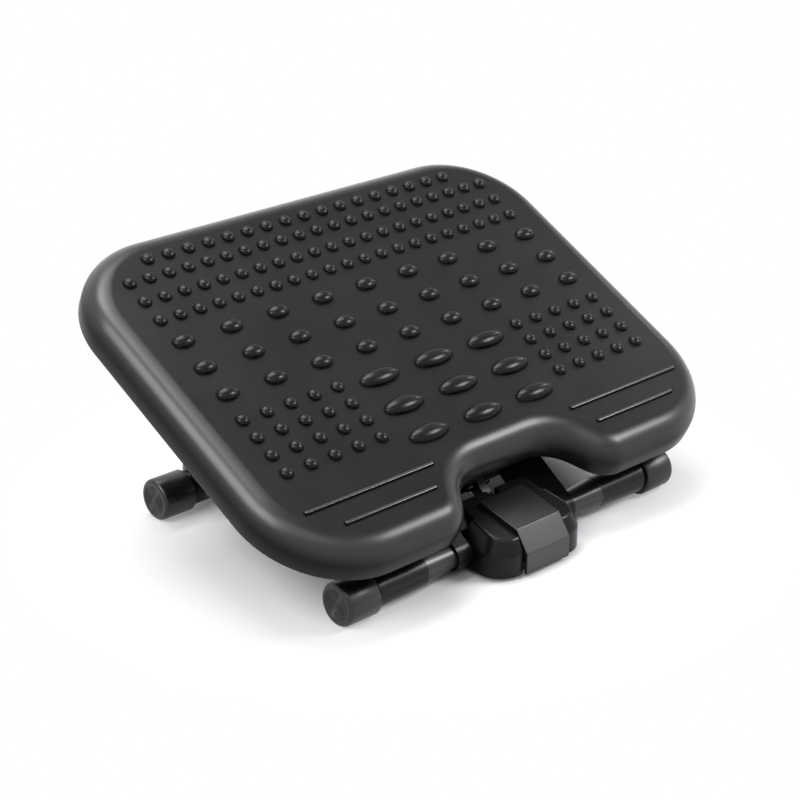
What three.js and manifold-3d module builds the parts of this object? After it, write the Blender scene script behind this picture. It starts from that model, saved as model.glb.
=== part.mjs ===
// A tilting under desk footrest. Millimetres, x to the right, y to the back, z up.
// Inside the model y is counted from the axis of the front tube, z from the floor. The last lines
// move the whole model so that the origin lies on the floor under the middle of its outline.
import * as THREE from 'three';
import * as BufferGeometryUtils from 'three/addons/utils/BufferGeometryUtils.js';
import Module from 'manifold-3d';

const wasm = await Module();
wasm.setup();

// Gaps between pieces
const gap = 0.3;
const turningGap = 0.8;

// Platform, with depths counted from its front edge and heights from its flat top
const platformWidth = 433;
const platformDepth = 328.2;
const platformCornerRadius = 78;
const platformRearCornerRadius = 76;
const rimHeight = 28.5;
const rimRadius = 19.5;
const platformWall = 3;
const platformTilt = 26;

// Notch in the platform's front edge
const notchDepth = 41.2;
const notchBackHalfWidth = 47;
const notchMouthHalfWidth = 72.3;
const notchBackRadius = 38;
const notchMouthRadius = 30;

// Raised grip ribs beside the notch, as distances from the front edge and from the middle
const gripRibWidth = 3.6;
const gripRibHeight = 1.6;
const gripRibs = [
  { depth: 32.2, inner: 81, outer: 165 },
  { depth: 50.7, inner: 69, outer: 186 },
];

// Massage bumps: small domes behind, ovals in the middle and long ovals in front. Rows and pitches
// follow the platform's depth and width.
const smallBump = { length: 10, width: 10, height: 4, segments: 6, rings: 1 };
const ovalBump = { length: 18, width: 12, height: 5, segments: 8, rings: 1 };
const longBump = { length: 36, width: 15, height: 6, segments: 10, rings: 2 };
const bumpRoot = 1.5;
const smallPitch = platformWidth * 0.0402;
const ovalPitch = platformWidth * 0.0982;
const longPitch = platformWidth * 0.1229;
const bumpRows = [
  { bump: smallBump, depth: platformDepth * 0.9116, count: 17, pitch: platformWidth * 0.0424 },
  { bump: smallBump, depth: platformDepth * 0.8589, count: 21, pitch: smallPitch },
  { bump: smallBump, depth: platformDepth * 0.7977, count: 21, pitch: smallPitch },
  { bump: smallBump, depth: platformDepth * 0.7364, count: 21, pitch: smallPitch },
  { bump: ovalBump, depth: platformDepth * 0.6636, count: 9, pitch: ovalPitch },
  { bump: ovalBump, depth: platformDepth * 0.5798, count: 9, pitch: ovalPitch },
  { bump: ovalBump, depth: platformDepth * 0.496, count: 9, pitch: ovalPitch },
  { bump: longBump, depth: platformDepth * 0.4074, count: 3, pitch: longPitch },
  { bump: longBump, depth: platformDepth * 0.3175, count: 3, pitch: longPitch },
  { bump: longBump, depth: platformDepth * 0.2285, count: 3, pitch: longPitch },
];
const sideBumps = {
  bump: smallBump, centre: platformWidth * 0.3058, count: 5, pitch: platformWidth * 0.0492,
};
const sideBumpDepths = [0.4202, 0.3669, 0.3135, 0.2605].map((share) => platformDepth * share);

// Stiffening under the platform
const ribThickness = 2.2;
const ribDrop = 8;
const ribPlaces = [35, 75, 145];
const crossRibPitch = 72;
const crossRibCount = 4;

// Feet: two tubes on rubber caps
const tubeRadius = 8;
const tubeWall = 1.5;
const footSpacing = 212;
const capRadius = 16.2;
const capLength = 28.4;
const capEdgeRadius = 3.2;
const capEndWall = 5.5;
const soleWidth = 8;
const capInnerEnd = 137;
const sleeveOuterRadius = 13.4;
const sleeveMiddleRadius = 12.3;
const sleeveNeckRadius = 9.4;
const sleeveMiddle = 90;
const rearSleeveInnerEnd = 101.5;

// Front housing block
const blockHalfWidth = 46;
const blockFront = 38;
const blockCornerRadius = 20;
const blockUnderside = 2.5;
const blockWallTop = 20;
const blockTaperHeight = 22;
const blockTaper = 11;
const blockShoulder = 0;
const blockTailHalfWidth = 34.5;
const blockTail = 20;
const blockFloorThickness = 3;
const blockRimWidth = 2.5;
const basePlateThickness = 2.5;
const tubeBossRadius = 12;

// Release pedal
const pedalHalfWidth = 21.7;
const pedalReach = 41.4;
const pedalUnderside = 3.2;
const pedalFrontHeight = 19.5;
const pedalEdgeReach = 30;
const pedalEdgeHeight = 35.4;
const pedalRear = 8;
const pedalSlope = 12;
const pedalSheet = 3;
const pedalSideWall = 2.5;
const pedalSideDepth = 7;
const pedalProud = 4;
const pedalPinReach = 20;
const pedalPinHeight = 27;
const pedalPinRadius = 2;
const pedalPinHalfLength = 28;
const pedalLugRadius = 4.6;
const pedalLugInner = 14;
const pedalLugOuter = 17.5;
const floorFront = 33.5;
const springReach = 29;
const springHeight = 13.2;
const springRadius = 3.2;
const springWire = 0.55;
const springTurns = 5;
const springSeatRadius = 4;

// Brake between the pedal and the arm
const sectorRimRadius = 21;
const sectorInnerRadius = 9.2;
const sectorHalfWidth = 4;
const sectorFrontAngle = 120;
const sectorRearAngle = 48;
const shoeHalfWidth = 6;
const shoeFrontAngle = 101;
const shoeRearAngle = 74;
const sectorFootThickness = 3;
const sectorFootHalfWidth = 13;
const sectorFootLow = -4.5;
const sectorFootHigh = 9;

// Lift arm
const armLength = 153.5;
const armAngle = 33.4;
const armTopSlope = 33.6;
const armBarrelRadius = 11.4;
const armEndRadius = 12;
const armOuter = 60;
const armInner = 36;
const barrelInner = 47.4;
const armWall = 3;
const armWebPlace = 45;
const armWebThickness = 6;
const armWebLow = -6;
const armWebHigh = 10;
const armCells = [[60, 88], [92, 118], [122, 136]];
const armBlockGap = 2;
const armBlockGapLow = 9;
const bushingRadius = 9.3;
const bushingFlangeRadius = 10.8;
const bushingFlange = 0.8;

// Tilt joint under the platform
const pivotDrop = 44;
const tiltRodRadius = 5;
const washerRadius = 11;
const washerThickness = 3.4;
const bracketThickness = 5;
const bracketFlangeWidth = 28;
const bracketFlangeThickness = 3;
const bracketFlangeHalfDepth = 25;
const bracketFlangeDrop = 18.3;
const bracketGussetDepth = 9.5;
const bracketGussetPlace = 10;
const rodCapRadius = 8;
const rodCapDepth = 6;
const rodCapWall = 3.7;

// Spine and rear saddle
const spineHalfWidth = 20;
const spineUnderside = 4;
const spineTop = 20;
const spineEdgeRadius = 5;
const spineWall = 3;
const spineFlange = 4;
const spineRibCount = 3;
const saddleHalfLength = 134;
const saddleHalfDepth = 18;
const saddleDrop = 8;
const saddleRise = 28;
const saddleWall = 3;
const saddleHollowHalfLength = 114;
const saddleRibPlaces = [40, 97];
const saddleRibThickness = 4;
const saddleBossHalfWidth = 22;
const saddleBossDepth = 8.5;

// Screws
const screwHeadRadius = 3.6;
const screwHeadHeight = 2.4;
const screwRadius = 1.75;
const plateScrewLength = 10;
const plateScrewSink = 1.3;
const spineScrewLength = 11;
const sectorScrewLength = 9;
const bracketScrewLength = 13;
const spineScrewPlace = 12;
const spineScrewHeight = 12;
const sectorScrewPlace = 8;
const bracketScrewPlaces = [11, 22];
const bracketScrewHalfPitch = 18;
const bracketBossRadius = 5;

// Derived places
const degree = Math.PI / 180;
const axleHeight = Math.sqrt(capRadius ** 2 - (soleWidth / 2) ** 2);
const tubeHalfLength = capInnerEnd + capLength - capEndWall - gap;
const blockFloor = blockUnderside + basePlateThickness + gap;
const pivotDepth = platformDepth / 2;
const tiltAxis = polar(armLength, armAngle);
const tilt = platformTilt * degree;
const platformRearReach = tiltAxis.x + Math.cos(tilt) * (platformDepth - pivotDepth)
  - Math.sin(tilt) * (pivotDrop - rimHeight);
const saddleFront = footSpacing - saddleHalfDepth;
const washerInner = armOuter + gap;
const bracketInner = washerInner + washerThickness + gap;
const bracketOuter = bracketInner + bracketThickness;
const rodCapInner = bracketOuter + gap;
const pedalSlotBack = pedalRear + pedalSideDepth * Math.sin(pedalSlope * degree) + turningGap;
const sectorFootBack = armWebPlace - gap;
const sides = [['left', -1], ['right', 1]];

const xAxis = new THREE.Vector3(1, 0, 0);
const yAxis = new THREE.Vector3(0, 1, 0);
const zAxis = new THREE.Vector3(0, 0, 1);

// Points and outlines

function polar(radius, angle) {
  return new THREE.Vector2(radius * Math.cos(angle * degree), radius * Math.sin(angle * degree));
}

function arc(centreX, centreY, radius, fromAngle, toAngle, steps) {
  const points = [];
  for (let step = 0; step <= steps; step += 1) {
    const angle = fromAngle + (toAngle - fromAngle) * step / steps;
    points.push(polar(radius, angle).add(new THREE.Vector2(centreX, centreY)));
  }
  return points;
}

// A closed outline through corners given as [x, y, radius, steps], each with its own round
function roundedOutline(corners) {
  const points = [];
  corners.forEach(([x, y, radius = 0, steps = 4], index) => {
    const corner = new THREE.Vector2(x, y);
    if (radius === 0) {
      points.push(corner);
      return;
    }
    const before = corners[(index + corners.length - 1) % corners.length];
    const after = corners[(index + 1) % corners.length];
    const back = new THREE.Vector2(before[0] - x, before[1] - y).normalize();
    const ahead = new THREE.Vector2(after[0] - x, after[1] - y).normalize();
    const halfAngle = Math.acos(back.dot(ahead)) / 2;
    const reach = radius / Math.tan(halfAngle);
    const middle = back.clone().add(ahead).normalize();
    const centre = corner.clone().addScaledVector(middle, radius / Math.sin(halfAngle));
    const start = corner.clone().addScaledVector(back, reach).sub(centre).angle();
    const end = corner.clone().addScaledVector(ahead, reach).sub(centre).angle();
    let sweep = end - start;
    if (sweep > Math.PI) sweep -= 2 * Math.PI;
    if (sweep < -Math.PI) sweep += 2 * Math.PI;
    points.push(...arc(centre.x, centre.y, radius, start / degree, (start + sweep) / degree, steps));
  });
  return points;
}

// A path moved sideways to its right by a distance, with mitred corners
function offsetPath(path, distance) {
  return path.map((point, index) => {
    const before = path[Math.max(index - 1, 0)];
    const after = path[Math.min(index + 1, path.length - 1)];
    const incoming = point.clone().sub(before).normalize();
    const outgoing = after.clone().sub(point).normalize();
    if (index === 0) incoming.copy(outgoing);
    if (index === path.length - 1) outgoing.copy(incoming);
    const direction = incoming.clone().add(outgoing).normalize();
    const stretch = distance / direction.dot(incoming);
    return new THREE.Vector2(point.x + direction.y * stretch, point.y - direction.x * stretch);
  });
}

function bentStrip(path, thickness) {
  return [...path, ...offsetPath(path, thickness).reverse()];
}

// Solids

function solid(geometry) {
  const bare = geometry.clone();
  bare.deleteAttribute('normal');
  bare.deleteAttribute('uv');
  const merged = BufferGeometryUtils.mergeVertices(bare);
  const index = merged.getIndex().array;
  const triangles = [];
  for (let i = 0; i < index.length; i += 3) {
    const [a, b, c] = [index[i], index[i + 1], index[i + 2]];
    if (a !== b && b !== c && c !== a) triangles.push(a, b, c);
  }
  const vertProperties = new Float32Array(merged.attributes.position.array);
  if (signedVolume(vertProperties, triangles) < 0) triangles.reverse();
  const triVerts = new Uint32Array(triangles);
  return new wasm.Manifold(new wasm.Mesh({ numProp: 3, vertProperties, triVerts }));
}

function signedVolume(positions, triangles) {
  const corner = new THREE.Vector3();
  const next = new THREE.Vector3();
  const last = new THREE.Vector3();
  let volume = 0;
  for (let i = 0; i < triangles.length; i += 3) {
    corner.fromArray(positions, triangles[i] * 3);
    next.fromArray(positions, triangles[i + 1] * 3);
    last.fromArray(positions, triangles[i + 2] * 3);
    volume += corner.dot(next.cross(last));
  }
  return volume;
}

function joined(pieces) {
  return pieces.reduce((whole, piece) => whole.add(piece));
}

// Swaps the drawing plane: an outline in x and y with its depth along z is turned as named
function extruded(points, depth, basis, place) {
  const shape = new THREE.Shape(points);
  const geometry = new THREE.ExtrudeGeometry(shape, { depth, bevelEnabled: false });
  geometry.applyMatrix4(basis);
  geometry.translate(place.x, place.y, place.z);
  return solid(geometry);
}

// An outline in y and z, from one x to another
function alongX(points, from, to) {
  const basis = new THREE.Matrix4().makeBasis(yAxis, zAxis, xAxis);
  return extruded(points, to - from, basis, new THREE.Vector3(from, 0, 0));
}

// An outline in x and z, from one y to another
function alongY(points, from, to) {
  const basis = new THREE.Matrix4().makeBasis(xAxis, zAxis, yAxis.clone().negate());
  return extruded(points, to - from, basis, new THREE.Vector3(0, to, 0));
}

// An outline in x and y, from one z to another
function alongZ(points, from, to) {
  return extruded(points, to - from, new THREE.Matrix4(), new THREE.Vector3(0, 0, from));
}

function box(fromX, toX, fromY, toY, fromZ, toZ) {
  const geometry = new THREE.BoxGeometry(toX - fromX, toY - fromY, toZ - fromZ);
  geometry.translate((fromX + toX) / 2, (fromY + toY) / 2, (fromZ + toZ) / 2);
  return solid(geometry);
}

// A bar along x, centred on a y and z
function barX(radius, fromX, toX, y, z, segments = 18) {
  const geometry = new THREE.CylinderGeometry(radius, radius, toX - fromX, segments);
  geometry.rotateZ(-90 * degree);
  geometry.translate((fromX + toX) / 2, y, z);
  return solid(geometry);
}

// A bar along y
function barY(radius, fromY, toY, x, z, segments = 12) {
  const geometry = new THREE.CylinderGeometry(radius, radius, toY - fromY, segments);
  geometry.translate(x, (fromY + toY) / 2, z);
  return solid(geometry);
}

// A bar along z
function barZ(radius, fromZ, toZ, x, y, segments = 12) {
  const geometry = new THREE.CylinderGeometry(radius, radius, toZ - fromZ, segments);
  geometry.rotateX(90 * degree);
  geometry.translate(x, y, (fromZ + toZ) / 2);
  return solid(geometry);
}

// A profile of [radius, place] pairs turned about x, mirrored for the left side
function turnedX(profile, side, segments = 18) {
  const points = profile.map(([radius, place]) => new THREE.Vector2(radius, place));
  const geometry = new THREE.LatheGeometry(points, segments);
  geometry.rotateZ(-90 * degree * side);
  return solid(geometry);
}

function ring(innerRadius, outerRadius, from, to) {
  return [
    [innerRadius, from], [outerRadius, from], [outerRadius, to], [innerRadius, to], [innerRadius, from],
  ];
}

// Sub-parts

function part(name, body, look) {
  const { vertProperties, triVerts } = body.getMesh();
  const geometry = new THREE.BufferGeometry();
  geometry.setAttribute('position', new THREE.BufferAttribute(vertProperties, 3));
  geometry.setIndex(new THREE.BufferAttribute(triVerts, 1));
  geometry.computeVertexNormals();
  const mesh = new THREE.Mesh(geometry, new THREE.MeshStandardMaterial(look));
  mesh.name = name;
  return mesh;
}

const mouldedBlack = { color: 0x1b1b1d, roughness: 0.5, metalness: 0 };
const softBlack = { color: 0x141415, roughness: 0.62, metalness: 0 };
const darkSteel = { color: 0x2a2b2d, roughness: 0.35, metalness: 0.9 };
const brightSteel = { color: 0x9a9ca0, roughness: 0.3, metalness: 1 };
const darkNylon = { color: 0x222224, roughness: 0.45, metalness: 0 };

// A pan head screw whose tip points along its own z, placed with its head's seat at the origin
function screw(name, length) {
  const profile = [
    [0, -screwHeadHeight], [screwHeadRadius, -screwHeadHeight * 0.5], [screwHeadRadius, 0],
    [screwRadius, 0], [screwRadius, length], [0, length],
  ];
  const points = profile.map(([radius, place]) => new THREE.Vector2(radius, place));
  const geometry = new THREE.LatheGeometry(points, 8);
  geometry.rotateX(90 * degree);
  return part(name, solid(geometry), brightSteel);
}

function footTube(name) {
  const profile = ring(tubeRadius - tubeWall, tubeRadius, -tubeHalfLength, tubeHalfLength);
  return part(name, turnedX(profile, 1), darkSteel);
}

// A rubber cap: a closed cup with a rounded, grooved end and a flat sole
function footCap(name, side) {
  const boreRadius = tubeRadius + gap;
  const end = capInnerEnd + capLength;
  const boreEnd = end - capEndWall;
  const edge = arc(end - capEdgeRadius, capRadius - capEdgeRadius, capEdgeRadius, 90, 0, 2);
  const profile = [
    [0, boreEnd], [boreRadius, boreEnd], [boreRadius, capInnerEnd],
    [capRadius, capInnerEnd],
    ...edge.map((point) => [point.y, point.x]),
    [9.6, end], [9, end - 0.8], [8.4, end], [0, end],
  ];
  const cap = turnedX(profile, side, 20);
  const sole = box(-200, 200, -capRadius, capRadius, -2 * capRadius, -axleHeight);
  return part(name, cap.subtract(sole), softBlack);
}

function frontSleeve(name, side) {
  const boreRadius = tubeRadius + gap;
  const profile = [
    [boreRadius, armOuter + gap + turningGap], [sleeveNeckRadius, armOuter + gap + turningGap],
    [sleeveMiddleRadius, sleeveMiddle], [sleeveOuterRadius, capInnerEnd - gap],
    [boreRadius, capInnerEnd - gap], [boreRadius, armOuter + gap + turningGap],
  ];
  return part(name, turnedX(profile, side), mouldedBlack);
}

function rearSleeve(name, side) {
  const profile = ring(tubeRadius + gap, sleeveOuterRadius, rearSleeveInnerEnd, capInnerEnd - gap);
  return part(name, turnedX(profile, side), mouldedBlack);
}

function foot(prefix, sleeve) {
  const group = new THREE.Group();
  group.add(footTube(`${prefix}_tube`));
  for (const [word, side] of sides) {
    group.add(sleeve(`${prefix}_sleeve_${word}`, side));
    group.add(footCap(`${prefix}_foot_cap_${word}`, side));
  }
  group.position.z = axleHeight;
  return group;
}

// Pedal surface, as the height of its top sheet at a distance behind the front axle
function pedalTop(y) {
  return pedalEdgeHeight + (y + pedalEdgeReach) * Math.tan(pedalSlope * degree);
}

function blockPlan(inset) {
  const side = blockHalfWidth - inset;
  const radius = blockCornerRadius - inset;
  const deep = blockTail + blockCornerRadius + 10;
  return roundedOutline([
    [-side, -blockFront + inset, radius, 7], [side, -blockFront + inset, radius, 7],
    [side, deep, radius, 2], [-side, deep, radius, 2],
  ]);
}

// Everything behind the block's shoulder that is wider than its tail, and all behind the tail
function behindBlock(inset) {
  const far = 120;
  const tail = blockTail - inset;
  const shoulder = blockShoulder - inset;
  const wings = [-1, 1].map((side) => {
    const inner = side * (blockTailHalfWidth - inset);
    const outer = side * far;
    return box(Math.min(inner, outer), Math.max(inner, outer), shoulder, far, -far, far);
  });
  return joined([...wings, box(-far, far, tail, far, -far, far)]);
}

function blockOutside() {
  const deep = 60;
  const geometry = new THREE.ExtrudeGeometry(new THREE.Shape(blockPlan(0)), {
    depth: deep,
    bevelEnabled: true,
    bevelThickness: blockTaperHeight,
    bevelSize: blockTaper,
    bevelOffset: -blockTaper,
    bevelSegments: 1,
  });
  geometry.translate(0, 0, blockWallTop - deep);
  const tapered = solid(geometry);
  const far = 120;
  const top = alongX([
    new THREE.Vector2(-far, pedalTop(-far) - pedalProud),
    new THREE.Vector2(far, pedalTop(far) - pedalProud),
    new THREE.Vector2(far, 3 * far), new THREE.Vector2(-far, 3 * far),
  ], -far, far);
  const under = box(-far, far, -far, far, -3 * far, blockUnderside);
  return tapered.subtract(top).subtract(under).subtract(behindBlock(0));
}

function plateScrewPlaces() {
  const front = [blockHalfWidth - 17, -blockFront + 9];
  const rear = [blockHalfWidth - 7, -14];
  return [front, rear].flatMap(([x, y]) => [[-x, y], [x, y]]);
}

function frontBlock() {
  const slotHalf = pedalHalfWidth + turningGap;
  const floorTop = blockFloor + blockFloorThickness;
  const far = 120;
  const pedalSlot = box(-slotHalf, slotHalf, -far, pedalSlotBack, floorTop, far);
  const pedalMouth = box(-slotHalf, slotHalf, -far, -floorFront, 0, far);
  const recess = alongZ(blockPlan(blockRimWidth), 0, blockFloor).subtract(behindBlock(blockRimWidth));
  const boss = barX(tubeBossRadius, -slotHalf - 0.5, slotHalf + 0.5, 0, axleHeight)
    .subtract(box(-far, far, -far, far, -far, blockFloor));
  const cradle = box(-slotHalf - 0.5, slotHalf + 0.5, 0, pedalSlotBack + 0.5, blockFloor, axleHeight);
  const sectorSlot = sectorHalfWidth + 0.6;
  const channel = box(-sectorSlot, sectorSlot, -far, far, axleHeight + 3, far);
  const tubeHole = barX(tubeRadius + gap, -far, far, 0, axleHeight);
  const pinReach = pedalPinHalfLength + gap;
  const pinHole = barX(pedalPinRadius + gap, -pinReach, pinReach, -pedalPinReach, pedalPinHeight, 12);
  let block = blockOutside().subtract(pedalSlot).subtract(pedalMouth).subtract(recess);
  block = block.add(boss).add(cradle).subtract(channel).subtract(tubeHole).subtract(pinHole);
  for (const [x, y] of plateScrewPlaces()) {
    const tip = blockUnderside + plateScrewSink + plateScrewLength + 1;
    block = block.subtract(barZ(screwRadius + gap, 0, tip, x, y));
  }
  for (const side of [-1, 1]) {
    const from = blockTail - (spineScrewLength - spineFlange);
    const hole = barY(screwRadius + gap, from, blockTail + 1, side * spineScrewPlace, spineScrewHeight);
    block = block.subtract(hole);
  }
  return part('front_block', block, mouldedBlack);
}

function basePlate() {
  const inset = blockRimWidth + gap;
  const slotHalf = pedalHalfWidth + turningGap;
  let plate = alongZ(blockPlan(inset), blockUnderside, blockUnderside + basePlateThickness)
    .subtract(behindBlock(inset))
    .subtract(box(-slotHalf, slotHalf, -100, -floorFront, 0, 20));
  for (const [x, y] of plateScrewPlaces()) {
    plate = plate.subtract(barZ(screwRadius + gap, 0, 20, x, y));
    plate = plate.subtract(barZ(screwHeadRadius + gap, 0, blockUnderside + plateScrewSink, x, y));
  }
  return part('block_base_plate', plate, mouldedBlack);
}

function basePlateScrews() {
  return plateScrewPlaces().map(([x, y], index) => {
    const mesh = screw(`base_plate_screw_${index + 1}`, plateScrewLength);
    mesh.position.set(x, y, blockUnderside + plateScrewSink - gap);
    return mesh;
  });
}

// Pedal: a bent sheet with side skirts, two lugs for the pin and a seat for the spring

function pedalPath() {
  return [
    new THREE.Vector2(-pedalReach, pedalUnderside),
    new THREE.Vector2(-pedalReach, pedalFrontHeight),
    new THREE.Vector2(-pedalEdgeReach, pedalEdgeHeight),
    new THREE.Vector2(pedalRear, pedalTop(pedalRear)),
  ];
}

function pedal() {
  const path = pedalPath();
  const skirt = bentStrip(path.slice(1), pedalSideDepth);
  const lugTop = pedalTop(-pedalPinReach) - pedalSheet;
  const pieces = [alongX(bentStrip(path, pedalSheet), -pedalHalfWidth, pedalHalfWidth)];
  for (const side of [-1, 1]) {
    const [skirtFrom, skirtTo] = span(side, pedalHalfWidth - pedalSideWall, pedalHalfWidth);
    const [lugFrom, lugTo] = span(side, pedalLugInner, pedalLugOuter);
    const lugFront = -pedalPinReach - pedalLugRadius;
    const lugBack = -pedalPinReach + pedalLugRadius;
    pieces.push(alongX(skirt, skirtFrom, skirtTo));
    pieces.push(box(lugFrom, lugTo, lugFront, lugBack, pedalPinHeight, lugTop + 0.3));
    pieces.push(barX(pedalLugRadius, lugFrom, lugTo, -pedalPinReach, pedalPinHeight, 16));
  }
  const seatLow = blockFloor + blockFloorThickness + springHeight + 2 * gap;
  pieces.push(barZ(springSeatRadius, seatLow, pedalPinHeight + 3.4, 0, -springReach));
  const hole = barX(pedalPinRadius + gap, -100, 100, -pedalPinReach, pedalPinHeight, 12);
  return part('release_pedal', joined(pieces).subtract(hole), mouldedBlack);
}

function span(side, inner, outer) {
  return side > 0 ? [inner, outer] : [-outer, -inner];
}

function pedalPin() {
  const half = pedalPinHalfLength;
  const pin = barX(pedalPinRadius, -half, half, -pedalPinReach, pedalPinHeight, 12);
  return part('pedal_pin', pin, brightSteel);
}

class SpringCurve extends THREE.Curve {
  getPoint(share) {
    const angle = share * springTurns * 2 * Math.PI;
    const rise = springHeight - 2 * springWire;
    return new THREE.Vector3(
      springRadius * Math.cos(angle), springRadius * Math.sin(angle), springWire + rise * share);
  }
}

function pedalSpring() {
  const section = new THREE.Shape(arc(0, 0, springWire, 0, 288, 4));
  const geometry = new THREE.ExtrudeGeometry(section, {
    steps: springTurns * 8, extrudePath: new SpringCurve(), bevelEnabled: false,
  });
  const mesh = part('pedal_spring', solid(geometry), brightSteel);
  mesh.position.set(0, -springReach, blockFloor + blockFloorThickness + gap);
  return mesh;
}

// The shoe under the pedal lies on the round rim of the sector and holds the arm
function brakeShoe() {
  const under = (y) => pedalTop(y) - pedalSheet / Math.cos(pedalSlope * degree) - gap;
  const face = arc(0, axleHeight, sectorRimRadius + gap, shoeRearAngle, shoeFrontAngle, 6);
  const rear = face[0].x;
  const front = face[face.length - 1].x;
  const outline = [
    ...face, new THREE.Vector2(front, under(front)), new THREE.Vector2(rear, under(rear)),
  ];
  return part('brake_shoe', alongX(outline, -shoeHalfWidth, shoeHalfWidth), softBlack);
}

// Arm pieces, drawn about the front axle with the axle at y = z = 0

// A point given by its distance along the arm's flat top and its height above the axle's line
function alongArm(distance, height) {
  return polar(distance, armTopSlope).add(polar(height, armTopSlope + 90));
}

function armProfile() {
  const end = tiltAxis;
  const lowerTurn = armAngle - 90 + Math.asin((armBarrelRadius - armEndRadius) / armLength) / degree;
  return [
    ...arc(0, 0, armBarrelRadius, armTopSlope + 90, 360 + lowerTurn, 12),
    ...arc(end.x, end.y, armEndRadius, lowerTurn, armTopSlope + 90, 10),
  ];
}

function armCell(from, to, innerX, outerX) {
  const outline = [
    alongArm(from, -80), alongArm(to, -80),
    alongArm(to, armBarrelRadius - armWall - 1), alongArm(from, armBarrelRadius - armWall - 1),
  ];
  return alongX(outline, innerX, outerX);
}

function liftArm() {
  const far = 120;
  const profile = armProfile();
  const webOutline = [
    alongArm(armWebPlace, armWebLow), alongArm(armWebPlace + armWebThickness, armWebLow),
    alongArm(armWebPlace + armWebThickness, armWebHigh), alongArm(armWebPlace, armWebHigh),
  ];
  let arm = barX(armEndRadius, -armOuter, armOuter, tiltAxis.x, tiltAxis.y)
    .add(alongX(webOutline, -armInner - 1, armInner + 1));
  for (const side of [-1, 1]) {
    const [legFrom, legTo] = span(side, armInner, armOuter);
    const [gapFrom, gapTo] = span(side, 0, barrelInner);
    const [cellFrom, cellTo] = span(side, armInner + armWall, armOuter - armWall);
    const blockRoom = [
      new THREE.Vector2(-far, -far), new THREE.Vector2(armBlockGapLow, -far),
      new THREE.Vector2(armBlockGapLow, -armBarrelRadius), new THREE.Vector2(armBlockGap, armBarrelRadius),
      new THREE.Vector2(armBlockGap, far), new THREE.Vector2(-far, far),
    ];
    let leg = alongX(profile, legFrom, legTo).subtract(alongX(blockRoom, gapFrom, gapTo));
    for (const [from, to] of armCells) {
      leg = leg.subtract(armCell(from, to, cellFrom, cellTo));
    }
    arm = arm.add(leg);
  }
  for (const side of [-1, 1]) {
    arm = arm.subtract(sectorScrewHole(side));
  }
  arm = arm.subtract(barX(bushingFlangeRadius + gap, -barrelInner, barrelInner, 0, 0));
  arm = arm.subtract(barX(bushingRadius + gap, -far, far, 0, 0));
  arm = arm.subtract(barX(tiltRodRadius + gap, -far, far, tiltAxis.x, tiltAxis.y));
  return part('lift_arm', arm, mouldedBlack);
}

function sectorScrewHole(side) {
  const geometry = new THREE.CylinderGeometry(screwRadius + gap, screwRadius + gap, 40, 12);
  geometry.rotateX(armTopSlope * degree);
  const place = alongArm(armWebPlace, (sectorFootLow + sectorFootHigh) / 2);
  geometry.translate(side * sectorScrewPlace, place.x, place.y);
  return solid(geometry);
}

function heightSector() {
  const rim = arc(0, 0, sectorRimRadius, sectorFrontAngle, sectorRearAngle, 12);
  const hub = arc(0, 0, sectorInnerRadius, 46, sectorFrontAngle, 7);
  const plateFront = armWebPlace - gap - sectorFootThickness;
  const blade = [
    ...rim, alongArm(plateFront + 1, sectorFootHigh - 1), alongArm(plateFront + 1, sectorFootLow + 0.5), ...hub,
  ];
  const foot = [
    alongArm(plateFront, sectorFootLow), alongArm(sectorFootBack, sectorFootLow),
    alongArm(sectorFootBack, sectorFootHigh), alongArm(plateFront, sectorFootHigh),
  ];
  let sector = alongX(blade, -sectorHalfWidth, sectorHalfWidth)
    .add(alongX(foot, -sectorFootHalfWidth, sectorFootHalfWidth));
  for (const side of [-1, 1]) {
    sector = sector.subtract(sectorScrewHole(side));
  }
  return part('height_sector', sector, darkSteel);
}

function sectorScrews() {
  return sides.map(([word, side]) => {
    const mesh = screw(`sector_screw_${word}`, sectorScrewLength);
    const height = (sectorFootLow + sectorFootHigh) / 2;
    const place = alongArm(armWebPlace - 2 * gap - sectorFootThickness, height);
    mesh.rotation.x = (armTopSlope - 90) * degree;
    mesh.position.set(side * sectorScrewPlace, place.x, place.y);
    return mesh;
  });
}

function armBushing(name, side) {
  const boreRadius = tubeRadius + gap;
  const flangeFrom = blockHalfWidth + gap;
  const flangeTo = flangeFrom + bushingFlange;
  const profile = [
    [boreRadius, flangeFrom], [bushingFlangeRadius, flangeFrom], [bushingFlangeRadius, flangeTo],
    [bushingRadius, flangeTo], [bushingRadius, armOuter + gap], [boreRadius, armOuter + gap],
    [boreRadius, flangeFrom],
  ];
  return part(name, turnedX(profile, side), darkNylon);
}

// Platform pieces, drawn about the tilt axis: y along the platform, z square to its top

function platformOutline() {
  const half = platformWidth / 2;
  const front = -pivotDepth;
  const rear = platformDepth - pivotDepth;
  return roundedOutline([
    [half, front, platformCornerRadius, 8], [half, rear, platformRearCornerRadius, 8],
    [-half, rear, platformRearCornerRadius, 8], [-half, front, platformCornerRadius, 8],
    [-notchMouthHalfWidth, front, notchMouthRadius, 5],
    [-notchBackHalfWidth, front + notchDepth, notchBackRadius, 5],
    [notchBackHalfWidth, front + notchDepth, notchBackRadius, 5],
    [notchMouthHalfWidth, front, notchMouthRadius, 5],
  ]);
}

// The platform's outer form, or the same form one wall smaller
function platformForm(inset, roundSteps) {
  const radius = rimRadius - inset;
  const depth = 2 * rimHeight;
  const geometry = new THREE.ExtrudeGeometry(new THREE.Shape(platformOutline()), {
    depth,
    bevelEnabled: true,
    bevelThickness: radius,
    bevelSize: radius,
    bevelOffset: -radius - inset,
    bevelSegments: roundSteps,
  });
  geometry.translate(0, 0, pivotDrop - inset - radius - depth);
  return solid(geometry);
}

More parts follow.
